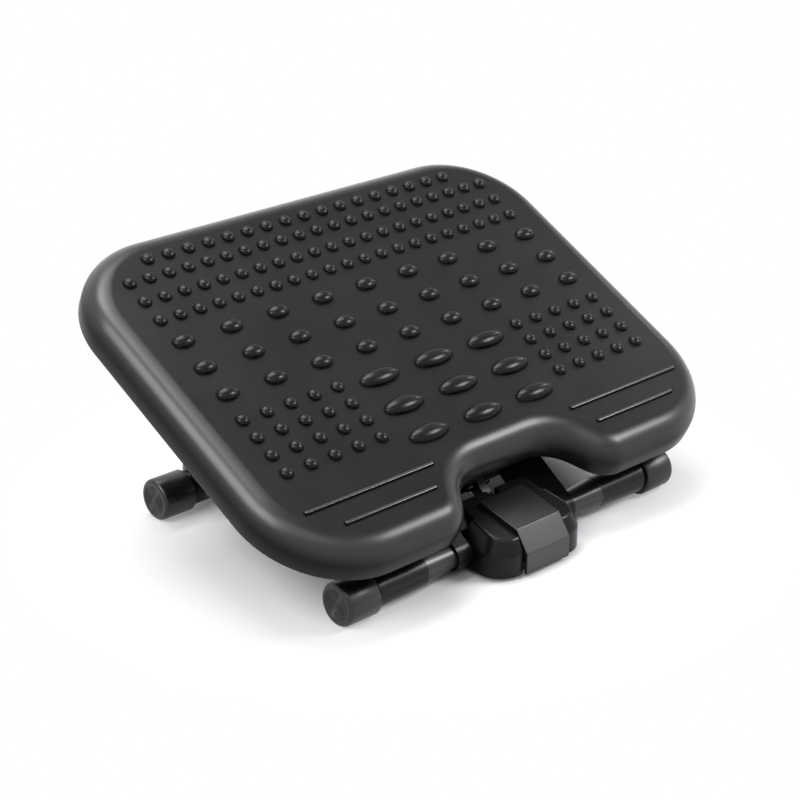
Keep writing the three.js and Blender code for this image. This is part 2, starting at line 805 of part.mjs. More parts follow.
function massageBump({ length, width, height, segments, rings }) {
  const points = [new THREE.Vector2(0, -bumpRoot), new THREE.Vector2(1, -bumpRoot)];
  for (let step = 0; step <= rings; step += 1) {
    const angle = 90 * degree * step / (rings + 1);
    points.push(new THREE.Vector2(Math.cos(angle), height * Math.sin(angle)));
  }
  points.push(new THREE.Vector2(0, height));
  const geometry = new THREE.LatheGeometry(points, segments);
  geometry.rotateX(90 * degree);
  geometry.scale(length / 2, width / 2, 1);
  return geometry;
}

function bumpRow(row, centre, depth) {
  const bumps = [];
  for (let index = 0; index < row.count; index += 1) {
    const geometry = massageBump(row.bump);
    const x = centre + (index - (row.count - 1) / 2) * row.pitch;
    geometry.translate(x, depth - pivotDepth, pivotDrop);
    bumps.push(solid(geometry));
  }
  return bumps;
}

function allBumps() {
  const bumps = bumpRows.flatMap((row) => bumpRow(row, 0, row.depth));
  for (const depth of sideBumpDepths) {
    bumps.push(...bumpRow(sideBumps, -sideBumps.centre, depth));
    bumps.push(...bumpRow(sideBumps, sideBumps.centre, depth));
  }
  return joined(bumps);
}

function gripRib({ depth, inner, outer }, side) {
  const radius = gripRibWidth / 2;
  const geometry = new THREE.CapsuleGeometry(radius, outer - inner, 2, 8);
  geometry.rotateZ(90 * degree);
  geometry.scale(1, 1, gripRibHeight / radius);
  geometry.translate(side * (inner + outer) / 2, depth - pivotDepth, pivotDrop);
  return solid(geometry);
}

function bracketScrewSpots(side) {
  return bracketScrewPlaces.flatMap((reach) => [-1, 1].map((end) => [
    side * (bracketInner + reach), end * bracketScrewHalfPitch,
  ]));
}

function undersideRibs() {
  const low = pivotDrop - ribDrop;
  const high = pivotDrop - platformWall / 2;
  const half = ribThickness / 2;
  const ribs = [];
  for (const side of [-1, 1]) {
    for (const place of ribPlaces) {
      ribs.push(box(side * place - half, side * place + half, -platformDepth, platformDepth, low, high));
    }
    for (const [x, y] of bracketScrewSpots(side)) {
      ribs.push(barZ(bracketBossRadius, pivotDrop - bracketFlangeDrop + gap, high, x, y, 8));
    }
  }
  for (let index = 0; index < crossRibCount; index += 1) {
    const y = (index - (crossRibCount - 1) / 2) * crossRibPitch;
    ribs.push(box(-platformWidth, platformWidth, y - half, y + half, low, high));
  }
  return joined(ribs);
}

function platform() {
  const outside = platformForm(0, 5);
  const lipPlane = pivotDrop - rimHeight;
  const below = box(-platformWidth, platformWidth, -platformDepth, platformDepth, -platformWidth, lipPlane);
  let body = outside.subtract(platformForm(platformWall, 3)).subtract(below);
  body = body.add(undersideRibs().intersect(platformForm(platformWall / 2, 3)));
  body = body.add(allBumps());
  for (const side of [-1, 1]) {
    for (const rib of gripRibs) {
      body = body.add(gripRib(rib, side));
    }
    for (const [x, y] of bracketScrewSpots(side)) {
      const tip = pivotDrop - bracketFlangeDrop - bracketFlangeThickness + bracketScrewLength + 1;
      body = body.subtract(barZ(screwRadius + gap, 0, tip, x, y));
    }
  }
  return part('platform', body, mouldedBlack);
}

function tiltBracket(name, side) {
  const flangeTop = pivotDrop - bracketFlangeDrop;
  const flangeLow = flangeTop - bracketFlangeThickness;
  const depth = bracketFlangeHalfDepth;
  const cheek = [
    new THREE.Vector2(depth - 3, flangeTop - 1), new THREE.Vector2(-depth + 3, flangeTop - 1),
    new THREE.Vector2(-depth + 3, flangeLow - 3), ...arc(0, 0, armEndRadius, 205, 335, 8),
    new THREE.Vector2(depth - 3, flangeLow - 3),
  ];
  const [from, to] = span(side, bracketInner, bracketOuter);
  const [flangeFrom, flangeTo] = span(side, bracketInner, bracketInner + bracketFlangeWidth);
  const flange = roundedOutline([
    [flangeFrom, -depth, 4, 3], [flangeTo, -depth, 4, 3], [flangeTo, depth, 4, 3], [flangeFrom, depth, 4, 3],
  ]);
  let bracket = alongX(cheek, from, to).add(alongZ(flange, flangeLow, flangeTop));
  const gusset = [
    new THREE.Vector2(side * (bracketOuter - 1), flangeLow + 1),
    new THREE.Vector2(side * (bracketOuter - 1), flangeLow - bracketGussetDepth),
    new THREE.Vector2(side * (bracketInner + bracketFlangeWidth - 4), flangeLow + 1),
  ];
  for (const end of [-1, 1]) {
    const y = end * bracketGussetPlace;
    bracket = bracket.add(alongY(side > 0 ? gusset : [...gusset].reverse(), y - 1.5, y + 1.5));
  }
  for (const [x, y] of bracketScrewSpots(side)) {
    bracket = bracket.subtract(barZ(screwRadius + gap, 0, 60, x, y));
  }
  bracket = bracket.subtract(barX(tiltRodRadius + gap, -200, 200, 0, 0));
  return part(name, bracket, darkNylon);
}

function bracketScrews(word, side) {
  return bracketScrewSpots(side).map(([x, y], index) => {
    const mesh = screw(`bracket_screw_${word}_${index + 1}`, bracketScrewLength);
    mesh.position.set(x, y, pivotDrop - bracketFlangeDrop - bracketFlangeThickness - gap);
    return mesh;
  });
}

function rodCap(name, side) {
  const open = rodCapInner + rodCapDepth;
  const end = open + rodCapWall;
  const dome = arc(end - 2.5, rodCapRadius - 2.5, 2.5, 90, 0, 2);
  const profile = [
    [0, open], [tiltRodRadius + gap, open], [tiltRodRadius + gap, rodCapInner], [rodCapRadius, rodCapInner],
    ...dome.map((point) => [point.y, point.x]), [0, end],
  ];
  return part(name, turnedX(profile, side), softBlack);
}

function tiltGroup() {
  const group = new THREE.Group();
  const rodHalf = rodCapInner + rodCapDepth - gap;
  group.add(platform());
  group.add(part('tilt_rod', barX(tiltRodRadius, -rodHalf, rodHalf, 0, 0), brightSteel));
  for (const [word, side] of sides) {
    const washer = ring(tiltRodRadius + gap, washerRadius, washerInner, washerInner + washerThickness);
    group.add(part(`friction_washer_${word}`, turnedX(washer, side), darkNylon));
    group.add(tiltBracket(`tilt_bracket_${word}`, side));
    group.add(...bracketScrews(word, side));
    group.add(rodCap(`tilt_rod_cap_${word}`, side));
  }
  group.rotation.x = tilt;
  group.position.set(0, tiltAxis.x, tiltAxis.y);
  return group;
}

function armGroup() {
  const group = new THREE.Group();
  group.add(liftArm(), heightSector(), ...sectorScrews());
  for (const [word, side] of sides) {
    group.add(armBushing(`arm_bushing_${word}`, side));
  }
  group.add(tiltGroup());
  group.position.z = axleHeight;
  return group;
}

// Spine between the block and the rear saddle

function baseSpine() {
  const from = blockTail + gap;
  const to = saddleFront - gap;
  const section = (inset) => roundedOutline([
    [-spineHalfWidth + inset, spineUnderside - 2 * inset], [spineHalfWidth - inset, spineUnderside - 2 * inset],
    [spineHalfWidth - inset, spineTop - inset, spineEdgeRadius - inset, 3],
    [-spineHalfWidth + inset, spineTop - inset, spineEdgeRadius - inset, 3],
  ]);
  let hollow = alongY(section(spineWall), from + spineFlange, to - spineFlange);
  const pitch = (to - from) / (spineRibCount + 1);
  for (let index = 1; index <= spineRibCount; index += 1) {
    const y = from + index * pitch;
    hollow = hollow.subtract(box(-50, 50, y - 1.2, y + 1.2, spineUnderside + 3, 50));
  }
  let spine = alongY(section(0), from, to).subtract(hollow);
  for (const side of [-1, 1]) {
    const x = side * spineScrewPlace;
    spine = spine.subtract(barY(screwRadius + gap, from - 1, from + spineFlange + 1, x, spineScrewHeight));
    spine = spine.subtract(barY(screwRadius + gap, to - spineFlange - 1, to + 1, x, spineScrewHeight));
  }
  return part('base_spine', spine, mouldedBlack);
}

function spineScrews() {
  const front = blockTail + gap + spineFlange + gap;
  const rear = saddleFront - gap - spineFlange - gap;
  return sides.flatMap(([word, side]) => [['front', front, 1], ['rear', rear, -1]].map(([end, y, turn]) => {
    const mesh = screw(`spine_screw_${end}_${word}`, spineScrewLength);
    mesh.rotation.x = 90 * degree * turn;
    mesh.position.set(side * spineScrewPlace, y, spineScrewHeight);
    return mesh;
  }));
}

// Rear saddle, drawn about the rear tube's axis: a rounded hollow beam that holds the tube

function rearSaddle() {
  const far = 200;
  const middle = (saddleRise - saddleDrop) / 2;
  const radius = (saddleRise + saddleDrop) / 2;
  const lobe = roundedOutline([
    [-saddleHalfLength, middle - radius, radius - 0.01, 5], [saddleHalfLength, middle - radius, radius - 0.01, 5],
    [saddleHalfLength, middle + radius, radius - 0.01, 5], [-saddleHalfLength, middle + radius, radius - 0.01, 5],
  ]);
  const section = (inset, low) => roundedOutline([
    [-saddleHalfDepth + inset, low], [saddleHalfDepth - inset, low],
    [saddleHalfDepth - inset, saddleRise - inset, 14 - inset, 5],
    [-saddleHalfDepth + inset, saddleRise - inset, 14 - inset, 5],
  ]);
  const outside = alongX(section(0, -saddleDrop), -saddleHalfLength, saddleHalfLength)
    .intersect(alongY(lobe, -far, far));
  let hollow = alongX(section(saddleWall, -far), -saddleHollowHalfLength, saddleHollowHalfLength);
  for (const side of [-1, 1]) {
    for (const place of saddleRibPlaces) {
      const [from, to] = span(side, place, place + saddleRibThickness);
      hollow = hollow.subtract(box(from, to, -far, far, -saddleDrop, far));
    }
  }
  const bossBack = -saddleHalfDepth + saddleBossDepth;
  hollow = hollow.subtract(
    box(-saddleBossHalfWidth, saddleBossHalfWidth, -far, bossBack, -saddleDrop, saddleDrop + 4));
  let saddle = outside.subtract(hollow).subtract(barX(tubeRadius + gap, -far, far, 0, 0));
  for (const side of [-1, 1]) {
    const [from, to] = span(side, rearSleeveInnerEnd - gap, far);
    const x = side * spineScrewPlace;
    const z = spineScrewHeight - axleHeight;
    saddle = saddle.subtract(barX(sleeveOuterRadius + gap, from, to, 0, 0, 24));
    saddle = saddle.subtract(barY(screwRadius + gap, -saddleHalfDepth - 1, bossBack - 1, x, z));
  }
  const mesh = part('rear_saddle', saddle, mouldedBlack);
  mesh.position.z = axleHeight;
  return mesh;
}

// Assembly

const frontFoot = foot('front', frontSleeve);
const rearFoot = foot('rear', rearSleeve);
const saddle = rearSaddle();
rearFoot.position.y = footSpacing;
saddle.position.y = footSpacing;

const footrest = new THREE.Group();
footrest.add(frontFoot, rearFoot, saddle);
footrest.add(frontBlock(), basePlate(), ...basePlateScrews());
footrest.add(baseSpine(), ...spineScrews());
footrest.add(pedal(), pedalPin(), pedalSpring(), brakeShoe());
footrest.add(armGroup());
footrest.position.y = (pedalReach - platformRearReach) / 2;

const group = new THREE.Group();
group.add(footrest);

export default group;
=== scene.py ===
import math

import bmesh
import bpy
from mathutils import Matrix, Vector
from mathutils.geometry import delaunay_2d_cdt


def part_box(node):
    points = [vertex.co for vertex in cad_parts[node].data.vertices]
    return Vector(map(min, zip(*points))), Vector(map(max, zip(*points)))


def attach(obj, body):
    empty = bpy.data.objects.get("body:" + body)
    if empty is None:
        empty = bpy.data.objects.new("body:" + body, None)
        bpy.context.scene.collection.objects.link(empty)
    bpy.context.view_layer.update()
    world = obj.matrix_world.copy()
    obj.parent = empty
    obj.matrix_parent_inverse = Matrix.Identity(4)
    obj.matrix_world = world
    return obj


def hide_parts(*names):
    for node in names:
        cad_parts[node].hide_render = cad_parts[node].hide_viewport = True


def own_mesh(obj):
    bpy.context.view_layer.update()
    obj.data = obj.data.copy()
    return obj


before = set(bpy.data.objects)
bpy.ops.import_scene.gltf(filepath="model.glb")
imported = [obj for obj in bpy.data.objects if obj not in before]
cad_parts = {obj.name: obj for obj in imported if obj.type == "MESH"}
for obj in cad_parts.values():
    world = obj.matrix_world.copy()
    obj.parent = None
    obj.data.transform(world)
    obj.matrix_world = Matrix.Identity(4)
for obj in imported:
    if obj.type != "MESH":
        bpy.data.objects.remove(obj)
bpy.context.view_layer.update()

# Sizes are in millimetres and are turned to metres when a piece is placed.
MM = 0.001
GAP = 0.3
SIDES = (("left", -1), ("right", 1))

# Platform, with depths from its front edge and heights above the tilt axis
PLATFORM_WIDTH = 433
PLATFORM_DEPTH = 328.2
PIVOT_DEPTH = PLATFORM_DEPTH / 2
PLATFORM_TOP = 44
LIP_HEIGHT = PLATFORM_TOP - 28.5
RIM_RADIUS = 19.5
WALL = 3
LIP_ROUND = 0.9
LIP_STEP = 0.25
RIM_EASE = 0.25
TILT = math.radians(26)
NOTCH_DEPTH = 41.2
UNDER_RIB_DROP = 8
UNDER_RIB_HALF = 1.1
UNDER_RIB_PLACES = (35, 75, 145)
UNDER_RIB_PITCH = 72
BOSS_RADIUS = 5
BOSS_DROP = 18
BOSS_HOLE = 2.05
BOSS_HOLE_TOP = 36.7

# Massage bumps as length, width and height
SMALL_BUMP = (10, 10, 4)
OVAL_BUMP = (18, 12, 5)
LONG_BUMP = (36, 15, 6)
BUMP_STEPS = {SMALL_BUMP: 20, OVAL_BUMP: 28, LONG_BUMP: 40}
BUMP_FOOT = 0.7
BUMP_ROWS = (
    (SMALL_BUMP, 0.9116, 17, 0.0424),
    (SMALL_BUMP, 0.8589, 21, 0.0402),
    (SMALL_BUMP, 0.7977, 21, 0.0402),
    (SMALL_BUMP, 0.7364, 21, 0.0402),
    (OVAL_BUMP, 0.6636, 9, 0.0982),
    (OVAL_BUMP, 0.5798, 9, 0.0982),
    (OVAL_BUMP, 0.496, 9, 0.0982),
    (LONG_BUMP, 0.4074, 3, 0.1229),
    (LONG_BUMP, 0.3175, 3, 0.1229),
    (LONG_BUMP, 0.2285, 3, 0.1229),
)
SIDE_BUMP_ROWS = (0.4202, 0.3669, 0.3135, 0.2605)
SIDE_BUMP_CENTRE = 0.3058
SIDE_BUMP_PITCH = 0.0492

# Grip ribs beside the notch as depth, inner end and outer end, and the rings of their section
GRIP_RIBS = ((32.2, 81, 165), (50.7, 69, 186))
GRIP_RADIUS = 1.8
GRIP_FOOT = 0.5
GRIP_RISE = (
    (GRIP_FOOT, 0), (0.15, 0.12), (0, 0.5), (-0.3, 1.15), (-0.85, 1.5), (-1.1, 1.58), (-1.4, 1.6))

# Feet
TUBE_RADIUS = 8
CAP_RADIUS = 16.2
CAP_INNER = 137
CAP_OUTER = 165.4
CAP_END = 5.5
CAP_ROUND = 3.2
SLEEVE_OUTER = 13.4
SLEEVE_MIDDLE = 12.3
SLEEVE_NECK = 9.4
SLEEVE_GROOVE = 1.2
NECK_END = 90
REAR_SLEEVE_INNER = 101.5
TUBE_WALL = 1.5
SOLE_DROP = math.sqrt(CAP_RADIUS ** 2 - 4 ** 2)

# Front block and pedal
BLOCK_HALF = 46
BLOCK_FRONT = 38
BLOCK_CORNER = 20
BLOCK_LOW = 2.5
BLOCK_SHOULDER = 20
BLOCK_TAIL_HALF = 34.5
BLOCK_TAIL = 20
PEDAL_SLOPE = math.tan(math.radians(12))
SLOT_HALF = 22.5
SLOT_BACK = 10.26
SLOT_FLOOR = 8.8
PLATE_ROOM = 5.3
SECTOR_ROOM_HALF = 4.6
PIN_PLACE = (-20, 27)
PIN_ROOM = 2.3
PIN_HALF = 28.3

# Lift arm
ARM_LENGTH = 153.5
ARM_ANGLE = 33.4
ARM_SLOPE = 33.6
ARM_BARREL = 11.4
ARM_END = 12
ARM_OUTER = 60
ARM_INNER = 36
ARM_SKIN = 3
ARM_CELLS = ((60, 88), (92, 118), (122, 136))
ARM_CELL_TOP = 7.4
BUSHING_SEAT = 47.4
BUSHING_RADIUS = 9.3
FLANGE_RADIUS = 10.8
ROD_RADIUS = 5

# Rear saddle
SADDLE_BARREL = 116
SADDLE_DOME = 18
SADDLE_HOLLOW = 114
SADDLE_MIDDLE = 10

# Screws
SCREW_RADIUS = 1.75
SCREW_HEAD = 2.4
SCREW_HEAD_RADIUS = 3.6
BASE_PLATE_SCREWS = ((-29, -29), (29, -29), (-39, -14), (39, -14))
SPINE_SCREWS = (("front", 24.6, 90), ("rear", 189.4, -90))


def middle(node):
    low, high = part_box(node)
    return (low + high) / 2


front_axle = middle("front_tube")
rear_axle = middle("rear_tube")
tilt_axle = middle("tilt_rod")
MILLIMETRES = Matrix.Scale(MM, 4)
AT_FLOOR = Matrix.Translation((0, front_axle.y, 0)) @ MILLIMETRES
AT_FRONT_AXLE = Matrix.Translation(front_axle) @ MILLIMETRES
AT_REAR_AXLE = Matrix.Translation(rear_axle) @ MILLIMETRES
AT_TILT_AXLE = Matrix.Translation(tilt_axle) @ Matrix.Rotation(TILT, 4, "X") @ MILLIMETRES


def platform_up():
    return (AT_TILT_AXLE.to_3x3() @ Vector((0, 0, 1))).normalized()


# Finishes

class Wire:
    """A socket of a finish. Sums and products of wires add Math nodes."""

    def __init__(self, finish, socket):
        self.finish = finish
        self.socket = socket

    def worked(self, operation, first, second):
        return self.finish.add("ShaderNodeMath", {0: first, 1: second}, operation=operation)

    def __add__(self, other):
        return self.worked("ADD", self, other)

    def __radd__(self, other):
        return self.worked("ADD", other, self)

    def __sub__(self, other):
        return self.worked("SUBTRACT", self, other)

    def __rsub__(self, other):
        return self.worked("SUBTRACT", other, self)

    def __mul__(self, other):
        return self.worked("MULTIPLY", self, other)

    def __rmul__(self, other):
        return self.worked("MULTIPLY", other, self)


class Finish:
    """The nodes of a material or of the world, added one by one."""

    def __init__(self, owner):
        owner.use_nodes = True
        self.owner = owner
        self.tree = owner.node_tree
        self.tree.nodes.clear()

    def add(self, kind, sockets=(), output=0, stops=(), **settings):
        """Adds a node with its settings, ramp stops and sockets, and gives one of its outputs."""
        node = self.tree.nodes.new(kind)
        for setting, value in settings.items():
            setattr(node, setting, value)
        for index, (position, shade) in enumerate(stops):
            ramp = node.color_ramp.elements
            stop = ramp[index] if index < 2 else ramp.new(position)
            stop.position = position
            stop.color = shade
        for key, value in dict(sockets).items():
            if isinstance(value, Wire):
                self.tree.links.new(value.socket, node.inputs[key])
            else:
                node.inputs[key].default_value = value
        return Wire(self, node.outputs[output]) if node.outputs else None

    def close(self, **sockets):
        """Ends a material. In the names of its sockets an underscore stands for a space."""
        named = {key.replace("_", " "): value for key, value in sockets.items()}
        surface = self.add("ShaderNodeBsdfPrincipled", named)
        self.add("ShaderNodeOutputMaterial", {"Surface": surface})
        return self.owner


def grey(value):
    """A grey with a trace of blue."""
    return (value, value, value * 1.03, 1)


def plain(value):
    return (value, value, value, 1)


def moulded(name, dark, light, roughness, shine, grain_size, grain_depth, polished=None):
    """Black plastic from a mould with a fine spark grain and a slow drift in tone and gloss."""
    finish = Finish(bpy.data.materials.new(name))
    place = finish.add("ShaderNodeTexCoord", output="Object")
    grain = finish.add("ShaderNodeTexNoise", {
        "Vector": place, "Scale": 1 / (grain_size * MM), "Detail": 2.0})
    drift = finish.add("ShaderNodeTexNoise", {
        "Vector": place, "Scale": 22.0, "Detail": 4.0, "Roughness": 0.55})
    colour = finish.add(
        "ShaderNodeValToRGB", {"Fac": drift}, stops=((0.3, grey(dark)), (0.7, grey(light))))
    relief = finish.add(
        "ShaderNodeBump", {"Strength": 0.35, "Distance": grain_depth * MM, "Height": grain})
    gloss = roughness + 0.10 * (drift - 0.5) + 0.06 * (grain - 0.5)
    coat = 0.0 if polished is None else polished(finish, place)
    return finish.close(
        Base_Color=colour, Roughness=gloss, Specular_IOR_Level=shine, Coat_Weight=coat,
        Coat_Roughness=0.3, Normal=relief)


def along_rim(finish, place):
    """0.8 on the round of the platform's rim, which hands and shoes keep polished, else zero."""
    up = platform_up()
    height = finish.add(
        "ShaderNodeVectorMath", {0: place, 1: tuple(up)}, output="Value", operation="DOT_PRODUCT")
    above_axle = (height - up.dot(tilt_axle)) * (1 / (PLATFORM_TOP * MM))
    return finish.add("ShaderNodeValToRGB", {"Fac": above_axle}, stops=(
        (0.66, plain(0)), (0.84, plain(0.8)), (0.95, plain(0.8)), (1.0, plain(0))))


def rubber(name, dark, light, roughness):
    """Matt rubber with open pores and a little dust."""
    finish = Finish(bpy.data.materials.new(name))
    place = finish.add("ShaderNodeTexCoord", output="Object")
    pores = finish.add("ShaderNodeTexNoise", {"Vector": place, "Scale": 900.0, "Detail": 3.0})
    dust = finish.add("ShaderNodeTexNoise", {"Vector": place, "Scale": 60.0, "Detail": 5.0})
    colour = finish.add(
        "ShaderNodeValToRGB", {"Fac": dust}, stops=((0.35, grey(dark)), (0.75, grey(light))))
    relief = finish.add("ShaderNodeBump", {"Strength": 0.4, "Distance": 0.05 * MM, "Height": pores})
    gloss = roughness + 0.14 * (dust - 0.5)
    return finish.close(Base_Color=colour, Roughness=gloss, Specular_IOR_Level=0.5, Normal=relief)


def turned_metal(name, tone, roughness):
    """Steel with fine marks round its axis, which lies along x."""
    finish = Finish(bpy.data.materials.new(name))
    place = finish.add("ShaderNodeTexCoord", output="Object")
    drawn = finish.add("ShaderNodeMapping", {"Vector": place, "Scale": (4000.0, 60.0, 60.0)})
    marks = finish.add("ShaderNodeTexNoise", {"Vector": drawn, "Scale": 1.0, "Detail": 3.0})
    relief = finish.add("ShaderNodeBump", {"Strength": 0.2, "Distance": 0.02 * MM, "Height": marks})
    gloss = roughness + 0.16 * (marks - 0.5)
    return finish.close(Base_Color=grey(tone), Metallic=1.0, Roughness=gloss, Normal=relief)


satin_black = moulded("satin_black_plastic", 0.007, 0.010, 0.36, 0.13, 0.5, 0.02)
platform_black = moulded(
    "satin_black_platform", 0.007, 0.010, 0.32, 0.13, 0.5, 0.02, along_rim)
glossy_black = moulded("polished_black_bumps", 0.002, 0.004, 0.24, 0.19, 0.5, 0.001)
block_black = moulded("smooth_black_plastic", 0.005, 0.007, 0.28, 0.18, 0.4, 0.01)
sleeve_black = moulded("smooth_black_sleeve", 0.005, 0.008, 0.30, 0.24, 0.4, 0.01)
pedal_black = moulded("smooth_black_pedal", 0.004, 0.006, 0.30, 0.58, 0.4, 0.01)
# Painted shade: near black with little shine, for the feet of the bumps and the sides of the grip
# ribs, where shade would fall.
painted_crease_shade = moulded("painted_crease_shade_plastic", 0.002, 0.003, 0.5, 0.05, 0.5, 0.01)
worn_black = moulded("worn_black_rib_tops", 0.006, 0.009, 0.22, 0.8, 0.5, 0.001)
neck_black = moulded("smooth_black_neck", 0.006, 0.009, 0.30, 0.6, 0.4, 0.01)
cap_rubber = rubber("black_cap_rubber", 0.007, 0.012, 0.34)
shoe_rubber = rubber("brake_shoe_rubber", 0.010, 0.016, 0.6)
black_nylon = moulded("black_nylon", 0.009, 0.014, 0.4, 0.4, 0.3, 0.01)
black_steel = turned_metal("black_steel", 0.03, 0.38)
bright_steel = turned_metal("bright_steel", 0.55, 0.26)
oiled_steel = turned_metal("oiled_black_steel", 0.04, 0.4)


# Outlines

def on_circle(centre, radius, degrees):
    angle = math.radians(degrees)
    return (centre[0] + radius * math.cos(angle), centre[1] + radius * math.sin(angle))


def arc(centre, radius, start, end, steps):
    return [
        on_circle(centre, radius, start + (end - start) * step / steps)
        for step in range(steps + 1)]


def corner_round(corners, index):
    """Centre, first angle and turn of the round at a corner, with the angles in radians."""
    radius = corners[index][2]
    corner = Vector(corners[index][:2])
    back = (Vector(corners[index - 1][:2]) - corner).normalized()
    ahead = (Vector(corners[(index + 1) % len(corners)][:2]) - corner).normalized()
    half_angle = back.angle(ahead) / 2
    centre = corner + (back + ahead).normalized() * (radius / math.sin(half_angle))
    first = corner + back * (radius / math.tan(half_angle)) - centre
    last = corner + ahead * (radius / math.tan(half_angle)) - centre
    start = math.atan2(first.y, first.x)
    turn = (math.atan2(last.y, last.x) - start + math.pi) % (2 * math.pi) - math.pi
    return centre, start, turn


def rounded(corners, steps=6):
    """A closed outline through (a, b, radius) corners."""
    points = []
    for index, (a, b, radius) in enumerate(corners):
        if radius:
            centre, start, turn = corner_round(corners, index)
            points += arc(centre, radius, math.degrees(start), math.degrees(start + turn), steps)
        else:
            points.append((a, b))
    return points


# Solids in millimetres

def bridge(mesh, here, there):
    """Joins two rings of as many points, or a ring and a single point, with faces."""
    if len(here) == 1 and len(there) == 1:
        return
    count = max(len(here), len(there))
    for i in range(count):
        j = (i + 1) % count
        if len(here) == 1:
            mesh.faces.new((here[0], there[j], there[i]))
        elif len(there) == 1:
            mesh.faces.new((here[i], here[j], there[0]))
        else:
            mesh.faces.new((here[i], here[j], there[j], there[i]))


def facing_out(mesh):
    bmesh.ops.recalc_face_normals(mesh, faces=mesh.faces)
    return mesh


def turned(profile, side=1, turns=64, sole=None):
    """Turns (place along x, radius) points about x, with a flat cut below at the sole."""
    mesh = bmesh.new()
    rings = []
    for along, radius in profile:
        if radius == 0:
            rings.append([mesh.verts.new((side * along, 0, 0))])
            continue
        ring = []
        for index in range(turns):
            y, z = on_circle((0, 0), radius, 360 * index / turns)
            if sole is not None and z < -sole:
                z = -sole
            ring.append(mesh.verts.new((side * along, y, z)))
        rings.append(ring)
    closing = [] if profile[0][1] == 0 else [(rings[-1], rings[0])]
    for here, there in [*zip(rings, rings[1:]), *closing]:
        bridge(mesh, here, there)
    return facing_out(mesh)


def lofted(rings):
    """A closed solid through rings of as many points each."""
    mesh = bmesh.new()
    made = [[mesh.verts.new(point) for point in ring] for ring in rings]
    for here, there in zip(made, made[1:]):
        bridge(mesh, here, there)
    mesh.faces.new(list(reversed(made[0])))
    mesh.faces.new(made[-1])
    return facing_out(mesh)


def slab_x(outline, start, end):
    """An outline in y and z from one x to another."""
    return lofted([[(x, y, z) for y, z in outline] for x in (start, end)])


def slab_z(outline, start, end):
    """An outline in x and y from one z to another."""
    return lofted([[(x, y, z) for x, y in outline] for z in (start, end)])


def brick(x0, x1, y0, y1, z0, z1):
    return slab_z([(x0, y0), (x1, y0), (x1, y1), (x0, y1)], z0, z1)


def bar_x(radius, start, end, y=0, z=0, steps=40):
    return slab_x([on_circle((y, z), radius, 360 * i / steps) for i in range(steps)], start, end)


def bar_z(radius, start, end, x, y, steps=24):
    return slab_z([on_circle((x, y), radius, 360 * i / steps) for i in range(steps)], start, end)


def loose_object(mesh):
    data = bpy.data.meshes.new("shape")
    mesh.to_mesh(data)
    mesh.free()
    thing = bpy.data.objects.new("shape", data)
    bpy.context.scene.collection.objects.link(thing)
    return thing


def combined(mesh, tool, operation):
    """Joins a tool to a mesh, or cuts it away from the mesh."""
    body = loose_object(mesh)
    other = loose_object(tool)
    step = body.modifiers.new("step", "BOOLEAN")
    step.operation = operation
    step.solver = "EXACT"
    step.object = other
    graph = bpy.context.evaluated_depsgraph_get()
    made = bpy.data.meshes.new_from_object(body.evaluated_get(graph))
    result = bmesh.new()
    result.from_mesh(made)
    for thing in (body, other):
        data = thing.data
        bpy.data.objects.remove(thing)
        bpy.data.meshes.remove(data)
    bpy.data.meshes.remove(made)
    return result


def cut(mesh, *tools):
    for tool in tools:
        mesh = combined(mesh, tool, "DIFFERENCE")
    return mesh


def fused(mesh, *tools):
    for tool in tools:
        mesh = combined(mesh, tool, "UNION")
    return mesh


# Pieces

def settle(thing, name, body, replaced):
    """Names a piece, hangs it on the body that it rides on and hides the nodes it replaces."""
    thing.name = name
    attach(thing, body)
    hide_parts(*replaced)
    return thing


def soften(thing, width, angle=40, segments=2):
    """Rounds the edges of a piece that turn by more than the angle."""
    rounding = thing.modifiers.new("soft_edges", "BEVEL")
    rounding.width = width * MM
    rounding.segments = segments
    rounding.limit_method = "ANGLE"
    rounding.angle_limit = math.radians(angle)
    rounding.miter_outer = "MITER_ARC"
    evening = thing.modifiers.new("even_shading", "WEIGHTED_NORMAL")
    evening.keep_sharp = True


def piece(name, mesh, place, body, finish, replaced, sharp=38, edge=0, edge_angle=40):
    """Makes a solid in millimetres into a piece that rides on a body and replaces CAD nodes.

    Edges are rounded by edge, or else shaded sharp where they turn by more than sharp degrees.
    """
    data = bpy.data.meshes.new(name)
    mesh.to_mesh(data)
    mesh.free()
    data.transform(place)
    data.materials.append(finish)
    data.shade_smooth()
    thing = bpy.data.objects.new(name, data)
    bpy.context.scene.collection.objects.link(thing)
    if edge:
        soften(thing, edge, edge_angle)
    else:
        data.set_sharp_from_angle(angle=math.radians(sharp))
    return settle(thing, name, body, replaced)


def dressed(node, finish, edge=0, angle=35):
    """Gives a CAD node its finish, smooth shading and small rounded edges."""
    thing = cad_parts[node]
    thing.data.materials.clear()
    thing.data.materials.append(finish)
    for face in thing.data.polygons:
        face.use_smooth = True
        face.material_index = 0
    weld = thing.modifiers.new("weld", "WELD")
    weld.merge_threshold = 0.01 * MM
    flats = thing.modifiers.new("flats", "DECIMATE")
    flats.decimate_type = "DISSOLVE"
    flats.angle_limit = math.radians(0.6)
    if edge:
        soften(thing, edge, angle)


# Platform

# Material slots of the platform: the bumps, painted shade at the bumps' feet and on the ribs'
# sides, and the rib tops.
BUMP, CREASE_SHADE, WORN = 1, 2, 3


